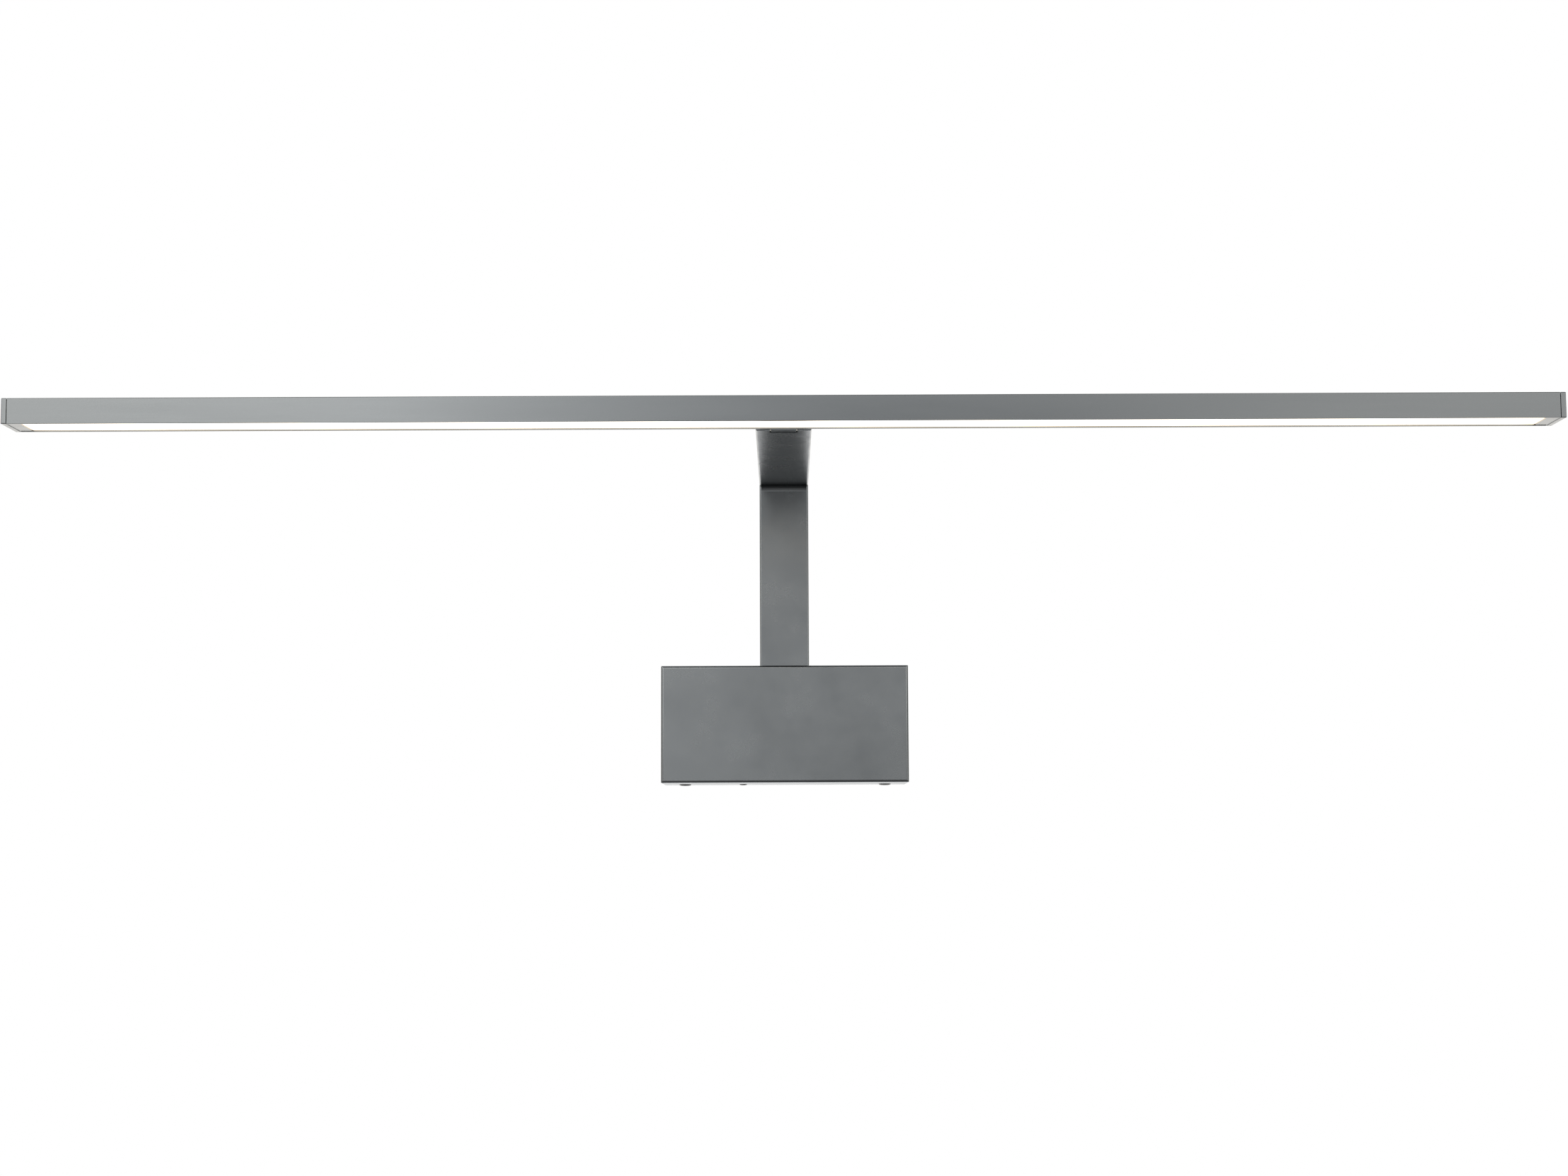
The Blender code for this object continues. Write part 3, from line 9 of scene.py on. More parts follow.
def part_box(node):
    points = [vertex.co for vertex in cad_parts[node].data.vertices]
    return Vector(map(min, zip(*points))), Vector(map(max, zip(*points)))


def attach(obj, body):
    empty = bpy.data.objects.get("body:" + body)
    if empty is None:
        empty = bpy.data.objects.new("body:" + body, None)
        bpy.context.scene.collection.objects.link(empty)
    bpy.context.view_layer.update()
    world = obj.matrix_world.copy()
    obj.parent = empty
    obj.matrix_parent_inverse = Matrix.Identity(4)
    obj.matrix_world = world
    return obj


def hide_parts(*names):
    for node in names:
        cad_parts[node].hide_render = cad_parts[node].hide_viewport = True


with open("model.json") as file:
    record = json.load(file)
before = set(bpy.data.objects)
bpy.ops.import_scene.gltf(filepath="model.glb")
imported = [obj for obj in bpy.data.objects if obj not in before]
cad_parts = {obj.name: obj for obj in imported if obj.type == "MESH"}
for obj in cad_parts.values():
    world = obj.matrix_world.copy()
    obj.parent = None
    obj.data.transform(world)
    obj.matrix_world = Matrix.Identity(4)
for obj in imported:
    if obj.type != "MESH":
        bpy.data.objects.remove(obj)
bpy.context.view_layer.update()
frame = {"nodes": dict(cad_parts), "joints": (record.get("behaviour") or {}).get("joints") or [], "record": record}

MM = 0.001

# ---- places taken from the frame ---------------------------------------------------------------
def middle_of(node):
    low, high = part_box(node)
    return (low + high) / 2


COVER_LOW, COVER_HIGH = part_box("box_cover")
UPRIGHT_LOW, UPRIGHT_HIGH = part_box("arm_upright")
FORWARD_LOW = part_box("arm_forward")[0]
HOUSING_LOW, HOUSING_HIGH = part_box("head_housing")
CAP_LOW, CAP_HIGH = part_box("end_cap_right")
DIFFUSER_LOW, DIFFUSER_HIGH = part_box("diffuser")
PLATE_LOW, PLATE_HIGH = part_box("wall_plate")
TONGUE_LOW, TONGUE_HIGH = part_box("tilt_bracket")
INSERT_LOW, INSERT_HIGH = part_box("fork_insert")
PIVOT = Vector(frame["joints"][0]["pos_m"])

LEAD_Z = middle_of("head_lead").z
BODY_OF = {node: body for body, nodes in frame["record"]["behaviour"]["bodies"].items() for node in nodes}
SLOT_OF = {row["node"]: row["material_slot"] for row in frame["record"]["subparts"]}

# ---- sizes -------------------------------------------------------------------------------------
SHEET = 1.5 * MM  # the cover and the wall plate are folded from it
COVER_RADIUS = 1.25 * MM
NOTCH_GAP = 0.4 * MM
SCREW_HOLE = 1.65 * MM
PLATE_HALF = 22 * MM
PLATE_BEND = 1.2 * MM
WALL_SLOT_X = 47 * MM
WALL_SLOT_RADIUS = 2.48 * MM
HOOK_X = 30 * MM
# For each screw in the box's underside: its head's height, the radii of its recess, its shank and the
# hole in its tab, and the tab's width.
COVER_SCREWS = {
    "cover_screw_left": (0.6 * MM, 1.4 * MM, 1.5 * MM, SCREW_HOLE, 12 * MM),
    "cover_screw_right": (0.6 * MM, 1.4 * MM, 1.5 * MM, SCREW_HOLE, 12 * MM),
    "cover_bond_screw": (0.4 * MM, 0.9 * MM, 1.0 * MM, 1.15 * MM, 9 * MM),
}

ARM_HALF = UPRIGHT_HIGH.x
ARM_THICKNESS = UPRIGHT_HIGH.y - UPRIGHT_LOW.y
ARM_RADIUS = 0.7 * MM
ARM_WALL = 1.5 * MM
MITRE_SUM = FORWARD_LOW.z - UPRIGHT_LOW.y  # the mitre plane is z = y + MITRE_SUM
MITRE_GAP = 0.06 * MM
GROOVE_BACK = 0.45 * MM
GROOVE_DEEP = 0.35 * MM

EAR_RADIUS = 5.5 * MM
SLOT_HALF = 5.5 * MM
SLOT_RADIUS = 5.6 * MM
SLOT_LIP = 3.1 * MM
ARM_TIP = PIVOT.y - EAR_RADIUS - 1 * MM
PAST_ARM = 13 * MM  # beyond the arm's sides, for cutters
GROMMET_HOLE = 2.5 * MM
PIVOT_HOLE = 2.15 * MM
DOG_RADIUS = 1.3 * MM
DOG_HOLE = 1.4 * MM
TONGUE_HALF = 4.9 * MM
TONGUE_RADIUS = 5.2 * MM
TONGUE_FLAT = 4.8 * MM
NECK_LOW = PIVOT.z - 1.3 * MM
NECK_HIGH = PIVOT.z + 2.8 * MM

HOUSING_WALL = 1.2 * MM
ROOF = 1.5 * MM
HEAD_EDGE = 0.35 * MM
RIB = 0.7 * MM
RIB_LOW = HOUSING_LOW.z + 2.0 * MM
RIB_HIGH = HOUSING_LOW.z + 2.7 * MM
WINDOW_HALF = 5.3 * MM
TILT_SCREW_HOLE = 1.4 * MM
CAP_SCREW_HOLE = 1.15 * MM


# ---- camera, world and lights ------------------------------------------------------------------
# Brightness of the studio in front of the object: by direction across, then by direction up.
FRONT_ACROSS = (
    (-1.0, 1.2), (-0.5, 1.4), (-0.32, 1.8), (-0.22, 2.4), (-0.14, 2.35), (-0.09, 1.20), (-0.04, 0.76),
    (0.0, 0.62), (0.05, 0.57), (0.11, 0.64), (0.17, 1.16), (0.23, 1.40), (0.34, 1.32), (1.0, 1.2),
)
FRONT_UP = (
    (-1.0, 0.15), (-0.35, 0.2), (-0.16, 0.4), (-0.03, 0.87), (0.05, 0.97), (0.115, 0.74), (0.19, 1.12),
    (0.35, 1.0), (1.0, 0.4),
)
FRONT_FADE = (-0.6, -0.25)
REAR_LEVEL, REAR_FADE = 1.15, (0.2, 0.5)
BAND_LEVEL, SIDE_LEVEL, SIDE_FADE = 0.08, 0.24, (0.3, 1.0)
WARM, WARM_FADE = (1.03, 1.0, 0.95), (0.05, 0.22)

CAMERA_PLACE = (0.0, -1.1749, -0.0548)
CAMERA_LENS = 58.6
CAMERA_PITCH, CAMERA_ROLL, CAMERA_TURN = 0.1015, 0.004, 0.0005
LIGHT_AIM = Vector((0, -0.1, 0.05))
LIGHT_SIDE = 1.3
FLOOR_REACH, FLOOR_LEVEL, FLOOR_FADE = 6.0, -1.6, (1.2, 5.0)
FLOOR_SIDES = 96


def make_camera():
    data = bpy.data.cameras.new("camera")
    data.sensor_width = 36.0
    data.lens = CAMERA_LENS
    camera = bpy.data.objects.new("camera", data)
    camera.location = CAMERA_PLACE
    camera.rotation_euler = (math.pi / 2 + CAMERA_PITCH, CAMERA_ROLL, CAMERA_TURN)
    bpy.context.scene.collection.objects.link(camera)
    bpy.context.scene.camera = camera


def direction_ramp(tree, value, stops):
    """A smooth curve through (value, level) pairs, for a value from -1 to 1."""
    peak = max(level for _, level in stops)
    ramp = tree.nodes.new("ShaderNodeValToRGB")
    ramp.color_ramp.interpolation = "EASE"
    while len(ramp.color_ramp.elements) < len(stops):
        ramp.color_ramp.elements.new(0.5)
    for element, (at, level) in zip(ramp.color_ramp.elements, stops):
        element.position = (at + 1) / 2
        element.color = (level / peak, level / peak, level / peak, 1.0)
    tree.links.new(mapped(tree, value, 0.0, 1.0, -1.0, 1.0), ramp.inputs["Fac"])
    return maths(tree, "MULTIPLY", ramp.outputs["Color"], peak)


def make_world():
    """A pale studio: bright in front and behind, dim to the sides, dimmest above and below.

    The camera itself sees plain white.
    """
    world = bpy.data.worlds.new("studio")
    bpy.context.scene.world = world
    world.use_nodes = True
    tree = world.node_tree
    background = tree.nodes["Background"]
    place = tree.nodes.new("ShaderNodeTexCoord")
    split = tree.nodes.new("ShaderNodeSeparateXYZ")
    tree.links.new(place.outputs["Generated"], split.inputs[0])
    across, depth, up = (split.outputs[axis] for axis in "XYZ")
    by_side, by_height = direction_ramp(tree, across, FRONT_ACROSS), direction_ramp(tree, up, FRONT_UP)
    front = maths(tree, "MULTIPLY", by_side, by_height)
    front = maths(tree, "MULTIPLY", front, mapped(tree, depth, 1.0, 0.0, *FRONT_FADE))
    rear = mapped(tree, depth, 0.0, REAR_LEVEL, *REAR_FADE)
    sideways = maths(tree, "ABSOLUTE", across)
    band = mapped(tree, sideways, BAND_LEVEL, SIDE_LEVEL, *SIDE_FADE)
    level = maths(tree, "ADD", maths(tree, "ADD", front, rear), band)
    seen = tree.nodes.new("ShaderNodeLightPath").outputs["Is Camera Ray"]
    unseen = mapped(tree, seen, 1.0, 0.0, 0.0, 1.0)
    shown = maths(tree, "ADD", maths(tree, "MULTIPLY", level, unseen), seen)
    warmth = maths(tree, "MULTIPLY", mapped(tree, sideways, 0.0, 1.0, *WARM_FADE), unseen)
    tree.links.new(mixed(tree, warmth, (1.0, 1.0, 1.0), WARM), background.inputs["Color"])
    tree.links.new(shown, background.inputs["Strength"])


def soft_light(name, place, power):
    data = bpy.data.lights.new(name, "AREA")
    data.shape = "RECTANGLE"
    data.size, data.size_y = LIGHT_SIDE, LIGHT_SIDE
    data.energy = power
    light = bpy.data.objects.new(name, data)
    light.location = place
    light.rotation_euler = (LIGHT_AIM - Vector(place)).to_track_quat("-Z", "Y").to_euler()
    bpy.context.scene.collection.objects.link(light)


def make_floor():
    """A round pale floor that fades into the white round it."""
    mesh = bpy.data.meshes.new("floor")
    turns = [math.tau * i / FLOOR_SIDES for i in range(FLOOR_SIDES)]
    ring = [(FLOOR_REACH * math.cos(turn), FLOOR_REACH * math.sin(turn), 0.0) for turn in turns]
    mesh.from_pydata(ring, [], [tuple(range(FLOOR_SIDES))])
    floor = bpy.data.objects.new("floor", mesh)
    floor.location = (0, 0, FLOOR_LEVEL)
    floor.visible_glossy = False
    bpy.context.scene.collection.objects.link(floor)
    paint, tree, shader = new_finish("pale_floor", 0.7)
    place = place_in(tree)
    distance = tree.nodes.new("ShaderNodeVectorMath")
    distance.operation = "LENGTH"
    tree.links.new(place, distance.inputs[0])
    tree.links.new(mapped(tree, distance.outputs["Value"], 1.0, 0.0, *FLOOR_FADE), shader.inputs["Alpha"])
    shade = mixed(tree, noise(tree, place, 0.4, 3.0), (0.86, 0.86, 0.85), (0.89, 0.89, 0.88))
    tree.links.new(shade, shader.inputs["Base Color"])
    mesh.materials.append(paint)


def make_studio():
    make_camera()
    make_world()
    soft_light("key_light", (-2.2, -1.9, 1.3), 12.0)
    soft_light("fill_light", (2.4, -1.7, 1.0), 6.0)
    make_floor()
    bpy.context.scene.view_settings.view_transform = "Standard"


# ---- material nodes ----------------------------------------------------------------------------
def new_finish(name, roughness, metallic=0.0):
    """A Principled material: (material, its node tree, its shader)."""
    made = bpy.data.materials.new(name)
    made.use_nodes = True
    shader = made.node_tree.nodes["Principled BSDF"]
    shader.inputs["Roughness"].default_value = roughness
    shader.inputs["Metallic"].default_value = metallic
    return made, made.node_tree, shader


def place_in(tree, stretch=(1, 1, 1)):
    """Object coordinates, squeezed along an axis by its stretch so that a pattern runs long there."""
    source = tree.nodes.new("ShaderNodeTexCoord")
    mapping = tree.nodes.new("ShaderNodeMapping")
    mapping.inputs["Scale"].default_value = [1 / s for s in stretch]
    tree.links.new(source.outputs["Object"], mapping.inputs["Vector"])
    return mapping.outputs["Vector"]


def noise(tree, place, size, detail=2.0, roughness=0.5):
    """Noise whose features are about one size across, from 0 to 1."""
    node = tree.nodes.new("ShaderNodeTexNoise")
    node.inputs["Scale"].default_value = 1 / size
    node.inputs["Detail"].default_value = detail
    node.inputs["Roughness"].default_value = roughness
    tree.links.new(place, node.inputs["Vector"])
    return node.outputs["Fac"]


def mapped(tree, value, low, high, from_low=0.3, from_high=0.7):
    """The value's span from from_low to from_high, stretched to run from low to high."""
    node = tree.nodes.new("ShaderNodeMapRange")
    spans = {"From Min": from_low, "From Max": from_high, "To Min": low, "To Max": high}
    for socket, number in spans.items():
        node.inputs[socket].default_value = number
    tree.links.new(value, node.inputs["Value"])
    return node.outputs["Result"]


def maths(tree, operation, a, b=0.0):
    node = tree.nodes.new("ShaderNodeMath")
    node.operation = operation
    for socket, value in zip(node.inputs, (a, b)):
        if isinstance(value, (int, float)):
            socket.default_value = value
        else:
            tree.links.new(value, socket)
    return node.outputs["Value"]


def mixed(tree, factor, a, b):
    """Colour a where the factor is 0 and b where it is 1. Each is a colour or another node's output."""
    node = tree.nodes.new("ShaderNodeMix")
    node.data_type = "RGBA"
    tree.links.new(factor, node.inputs[0])
    for socket, value in ((node.inputs[6], a), (node.inputs[7], b)):
        if isinstance(value, tuple):
            socket.default_value = (*value, 1.0)
        else:
            tree.links.new(value, socket)
    return node.outputs[2]


def bumped(tree, shader, *layers):
    """Bump from pairs of (height, depth in metres), one on top of the other."""
    below = None
    for height, depth in layers:
        node = tree.nodes.new("ShaderNodeBump")
        node.inputs["Strength"].default_value = 1.0
        node.inputs["Distance"].default_value = depth
        tree.links.new(height, node.inputs["Height"])
        if below:
            tree.links.new(below, node.inputs["Normal"])
        below = node.outputs["Normal"]
    tree.links.new(below, shader.inputs["Normal"])


def edge_share(tree, radius):
    """1 on convex and concave edges, 0 on flat faces: how far a rounded normal turns from the real one."""
    rounded = tree.nodes.new("ShaderNodeBevel")
    rounded.samples = 6
    rounded.inputs["Radius"].default_value = radius
    true = tree.nodes.new("ShaderNodeNewGeometry")
    dot = tree.nodes.new("ShaderNodeVectorMath")
    dot.operation = "DOT_PRODUCT"
    tree.links.new(rounded.outputs["Normal"], dot.inputs[0])
    tree.links.new(true.outputs["Normal"], dot.inputs[1])
    turned_away = maths(tree, "SUBTRACT", 1.0, dot.outputs["Value"])
    return mapped(tree, turned_away, 0.0, 1.0, 0.01, 0.22)


def shaded(colour, factor):
    return tuple(c * factor for c in colour)


# ---- finishes ----------------------------------------------------------------------------------
GRAPHITE = (0.190, 0.203, 0.213)


def graphite_coat(name, stretch=(1, 1, 1), roughness=0.25):
    """Satin metallic coat: flakes, a faint orange peel, soft patches and paler rubbed edges."""
    made, tree, shader = new_finish(name, roughness, 1.0)
    place = place_in(tree)
    along = place_in(tree, stretch)
    patches = mapped(tree, noise(tree, along, 38 * MM, 3.0), 0.0, 1.0)
    colour = mixed(tree, patches, shaded(GRAPHITE, 0.93), shaded(GRAPHITE, 1.05))
    flakes = mapped(tree, noise(tree, place, 0.13 * MM, 1.0), 0.0, 0.5, 0.56, 0.78)
    colour = mixed(tree, flakes, colour, shaded(GRAPHITE, 1.32))
    patchy = mapped(tree, noise(tree, place, 5 * MM, 4.0), 0.1, 0.8)
    worn = maths(tree, "MULTIPLY", edge_share(tree, 0.5 * MM), patchy)
    colour = mixed(tree, maths(tree, "MULTIPLY", worn, 0.45), colour, (0.34, 0.35, 0.355))
    tree.links.new(colour, shader.inputs["Base Color"])
    smudges = noise(tree, along, 14 * MM, 4.0, 0.6)
    tree.links.new(mapped(tree, smudges, roughness - 0.035, roughness + 0.04), shader.inputs["Roughness"])
    peel = (noise(tree, along, 1.1 * MM, 2.0), 0.005 * MM)
    grain = (noise(tree, place, 0.25 * MM, 1.0), 0.0025 * MM)
    bumped(tree, shader, peel, grain)
    return made


def zinc_steel():
    """Bright zinc plate over rolled steel: fine rolling lines and cloudy patches."""
    made, tree, shader = new_finish("zinc_steel", 0.34, 1.0)
    place = place_in(tree)
    lines = noise(tree, place_in(tree, (30, 1, 1)), 0.35 * MM, 3.0)
    clouds = mapped(tree, noise(tree, place, 7 * MM, 4.0), 0.0, 1.0)
    colour = mixed(tree, clouds, (0.50, 0.51, 0.52), (0.66, 0.66, 0.64))
    tree.links.new(colour, shader.inputs["Base Color"])
    tree.links.new(mapped(tree, lines, 0.26, 0.44), shader.inputs["Roughness"])
    bumped(tree, shader, (lines, 0.006 * MM))
    return made


def black_screw():
    """Black oxide over turned steel, rubbed bright where a driver and fingers touch it."""
    made, tree, shader = new_finish("black_screw", 0.38, 1.0)
    place = place_in(tree)
    patchy = mapped(tree, noise(tree, place, 0.8 * MM, 3.0), 0.0, 1.0)
    rubbed = maths(tree, "MULTIPLY", edge_share(tree, 0.25 * MM), patchy)
    colour = mixed(tree, noise(tree, place, 1.5 * MM), (0.07, 0.071, 0.075), (0.11, 0.11, 0.115))
    colour = mixed(tree, rubbed, colour, (0.30, 0.30, 0.30))
    tree.links.new(colour, shader.inputs["Base Color"])
    tree.links.new(mapped(tree, noise(tree, place, 0.5 * MM, 3.0), 0.30, 0.46), shader.inputs["Roughness"])
    bumped(tree, shader, (noise(tree, place, 0.18 * MM, 2.0), 0.003 * MM))
    return made


def opal_acrylic():
    """Opal strip, lit from behind: warm white, a little dimmer towards the edges and past the last LED."""
    made, tree, shader = new_finish("opal_acrylic", 0.42)
    shader.inputs["Emission Strength"].default_value = 2.8
    place = place_in(tree)
    split = tree.nodes.new("ShaderNodeSeparateXYZ")
    tree.links.new(place, split.inputs[0])
    half_length = DIFFUSER_HIGH.x
    middle = (DIFFUSER_LOW.y + DIFFUSER_HIGH.y) / 2
    half_width = (DIFFUSER_HIGH.y - DIFFUSER_LOW.y) / 2
    along = maths(tree, "ABSOLUTE", split.outputs["X"])
    across = maths(tree, "ABSOLUTE", maths(tree, "SUBTRACT", split.outputs["Y"], middle))
    lit_along = mapped(tree, along, 1.0, 0.45, half_length - 9 * MM, half_length)
    lit_across = mapped(tree, across, 1.0, 0.62, half_width * 0.45, half_width)
    lit = maths(tree, "MULTIPLY", lit_along, lit_across)
    cloudy = mapped(tree, noise(tree, place, 9 * MM, 3.0), 0.96, 1.0)
    lit = maths(tree, "MULTIPLY", lit, cloudy)
    glow = mixed(tree, lit, (0.50, 0.36, 0.22), (1.0, 0.86, 0.68))
    tree.links.new(glow, shader.inputs["Emission Color"])
    body = mixed(tree, noise(tree, place, 4 * MM, 3.0), (0.80, 0.78, 0.73), (0.88, 0.86, 0.82))
    tree.links.new(body, shader.inputs["Base Color"])
    tree.links.new(mapped(tree, noise(tree, place, 2 * MM, 3.0), 0.36, 0.50), shader.inputs["Roughness"])
    bumped(tree, shader, (noise(tree, place_in(tree, (25, 1, 1)), 0.5 * MM, 2.0), 0.004 * MM))
    return made


def plastic(name, colour, roughness, grain=0.3 * MM, depth=0.006 * MM):
    """Moulded plastic or rubber: spark-eroded grain, slight shade changes and a faint sheen variation."""
    made, tree, shader = new_finish(name, roughness)
    place = place_in(tree)
    shade = mapped(tree, noise(tree, place, 6 * MM, 4.0), 0.0, 1.0)
    base = mixed(tree, shade, shaded(colour, 0.92), shaded(colour, 1.08))
    pale_edges = maths(tree, "MULTIPLY", edge_share(tree, 0.3 * MM), 0.25)
    base = mixed(tree, pale_edges, base, tuple(min(1.0, c * 1.25 + 0.03) for c in colour))
    tree.links.new(base, shader.inputs["Base Color"])
    sheen = mapped(tree, noise(tree, place, 1.6 * MM, 3.0), roughness - 0.08, roughness + 0.08)
    tree.links.new(sheen, shader.inputs["Roughness"])
    bumped(tree, shader, (noise(tree, place, grain, 2.0), depth))
    return made


def bare_aluminium():
    """Milled aluminium: fine cutter marks and slightly uneven shade."""
    made, tree, shader = new_finish("bare_aluminium", 0.36, 1.0)
    place = place_in(tree)
    cuts = noise(tree, place_in(tree, (1, 20, 1)), 0.25 * MM, 2.0)
    colour = mixed(tree, noise(tree, place, 5 * MM, 3.0), (0.62, 0.62, 0.63), (0.76, 0.76, 0.76))
    tree.links.new(colour, shader.inputs["Base Color"])
    tree.links.new(mapped(tree, cuts, 0.28, 0.46), shader.inputs["Roughness"])
    bumped(tree, shader, (cuts, 0.005 * MM))
    return made


def circuit_board(name, mask, track):
    """Solder mask over tracks: straight bands of a second shade, with a fine satin surface."""
    made, tree, shader = new_finish(name, 0.34)
    place = place_in(tree)
    tracks = tree.nodes.new("ShaderNodeTexBrick")
    tracks.inputs["Scale"].default_value = 1 / (9 * MM)
    tracks.inputs["Mortar Size"].default_value = 0.03
    tracks.inputs["Color1"].default_value = (0, 0, 0, 1)
    tracks.inputs["Color2"].default_value = (0, 0, 0, 1)
    tracks.inputs["Mortar"].default_value = (1, 1, 1, 1)
    tree.links.new(place, tracks.inputs["Vector"])
    shade = mixed(tree, noise(tree, place, 5 * MM, 3.0), shaded(mask, 0.93), shaded(mask, 1.05))
    tree.links.new(mixed(tree, tracks.outputs["Color"], shade, track), shader.inputs["Base Color"])
    tree.links.new(mapped(tree, noise(tree, place, 1.2 * MM, 3.0), 0.28, 0.44), shader.inputs["Roughness"])
    bumped(tree, shader, (tracks.outputs["Color"], 0.02 * MM), (noise(tree, place, 0.3 * MM), 0.003 * MM))
    return made


FINISHES = {
    "graphite_steel": graphite_coat("graphite_steel"),
    "graphite_aluminium": graphite_coat("graphite_aluminium", (14, 1, 1), 0.23),
    "zinc_steel": zinc_steel(),
    "black_screw": black_screw(),
    "bare_aluminium": bare_aluminium(),
    "opal_acrylic": opal_acrylic(),
    "white_board": circuit_board("white_board", (0.84, 0.84, 0.82), (0.76, 0.76, 0.73)),
    "white_plastic": plastic("white_plastic", (0.80, 0.80, 0.78), 0.45),
    "white_lead": plastic("white_lead", (0.78, 0.78, 0.76), 0.38, 0.5 * MM),
    "brown_lead": plastic("brown_lead", (0.16, 0.06, 0.02), 0.38, 0.5 * MM),
    "blue_lead": plastic("blue_lead", (0.03, 0.12, 0.45), 0.38, 0.5 * MM),
    "green_lead": plastic("green_lead", (0.25, 0.42, 0.04), 0.38, 0.5 * MM),
    "circuit_board": circuit_board("circuit_board", (0.04, 0.20, 0.09), (0.07, 0.30, 0.14)),
    "black_plastic": plastic("black_plastic", (0.03, 0.03, 0.03), 0.5),
    "black_rubber": plastic("black_rubber", (0.025, 0.025, 0.025), 0.72, 0.4 * MM, 0.010 * MM),
    "nylon": plastic("nylon", (0.80, 0.78, 0.72), 0.42),
    "foam_tape": plastic("foam_tape", (0.20, 0.20, 0.20), 0.85, 0.4 * MM, 0.05 * MM),
}


# ---- shapes ------------------------------------------------------------------------------------
def block(low, high):
    """A box from its lowest and highest corners."""
    shape = bmesh.new()
    bmesh.ops.create_cube(shape, size=1.0)
    low, high = Vector(low), Vector(high)
    bmesh.ops.scale(shape, vec=high - low, verts=shape.verts)
    bmesh.ops.translate(shape, vec=(low + high) / 2, verts=shape.verts)
    return shape


def rounded(shape, radius, segments, chosen):
    """Rounds the edges for which chosen(edge) is true."""
    edges = [e for e in shape.edges if chosen(e)]
    bmesh.ops.bevel(shape, geom=edges, offset=radius, segments=segments, affect="EDGES", profile=0.5)
    return shape


def prism(outline, low, high, axis="X"):
    """An outline of (y, z) pairs extruded along X, or of (x, z) pairs extruded along Y."""
    def place(u, v, along):
        return (along, u, v) if axis == "X" else (u, along, v)

    shape = bmesh.new()
    face = shape.faces.new([shape.verts.new(place(u, v, low)) for u, v in outline])
    grown = bmesh.ops.extrude_face_region(shape, geom=[face])
    verts = [g for g in grown["geom"] if isinstance(g, bmesh.types.BMVert)]
    bmesh.ops.translate(shape, verts=verts, vec=Vector(place(0, 0, high - low)))
    return shape


def arc(centre, radius, start, end, steps):
    """Points on an arc, from one angle to another in degrees."""
    for i in range(steps + 1):
        angle = math.radians(start + (end - start) * i / steps)
        yield (centre[0] + radius * math.cos(angle), centre[1] + radius * math.sin(angle))


def round_rectangle(u, v, radius, steps=6):
    """The outline of a rectangle from its spans in u and v, with round corners."""
    outline = []
    for cu, cv, turn in ((u[1], v[1], 0), (u[0], v[1], 90), (u[0], v[0], 180), (u[1], v[0], 270)):
        centre = (
            cu - math.copysign(radius, cu - (u[0] + u[1]) / 2),
            cv - math.copysign(radius, cv - (v[0] + v[1]) / 2),
        )
        outline.extend(arc(centre, radius, turn, turn + 90, steps))
    return outline


def sleeve(rings):
    """A closed skin through rings of points, each joined to the next and the last to the first."""
    shape = bmesh.new()
    loops = [[shape.verts.new(p) for p in ring] for ring in rings]
    count = len(loops[0])
    for a, b in zip(loops, loops[1:] + loops[:1]):
        for i in range(count):
            j = (i + 1) % count
            shape.faces.new((a[i], a[j], b[j], b[i]))
    return shape


def turned(start, direction, profile, segments=48):
    """A turned shape. The profile's pairs are (distance along direction, radius), from end to end."""
    shape = bmesh.new()
    points = [(profile[0][0], 0.0), *profile, (profile[-1][0], 0.0)]
    verts = [shape.verts.new((radius, 0, along)) for along, radius in points]
    edges = [shape.edges.new(pair) for pair in zip(verts, verts[1:])]
    bmesh.ops.spin(shape, geom=verts + edges, axis=(0, 0, 1), cent=(0, 0, 0), steps=segments, angle=math.tau)
    bmesh.ops.remove_doubles(shape, verts=shape.verts, dist=1e-7)
    turn = Vector((0, 0, 1)).rotation_difference(Vector(direction))
    bmesh.ops.rotate(shape, verts=shape.verts, matrix=turn.to_matrix())
    bmesh.ops.translate(shape, verts=shape.verts, vec=Vector(start))
    return shape


def round_bar(start, end, radius, segments=48):
    """A plain bar with flat ends, between two points."""
    length = (Vector(end) - Vector(start)).length
    return turned(start, Vector(end) - Vector(start), [(0.0, radius), (length, radius)], segments)


def as_object(name, shape):
    """Moves a bmesh into a new object in the scene."""
    bmesh.ops.recalc_face_normals(shape, faces=shape.faces)
    mesh = bpy.data.meshes.new(name)
    shape.to_mesh(mesh)
    shape.free()
    obj = bpy.data.objects.new(name, mesh)
    bpy.context.scene.collection.objects.link(obj)
    return obj


def baked(obj):
    """The object's mesh with its modifiers applied."""
    bpy.context.view_layer.update()
    graph = bpy.context.evaluated_depsgraph_get()
    mesh = bpy.data.meshes.new_from_object(
        obj.evaluated_get(graph), preserve_all_data_layers=True, depsgraph=graph
    )
    rough = obj.data
    obj.modifiers.clear()
    obj.data = mesh
    bpy.data.meshes.remove(rough)
    return mesh


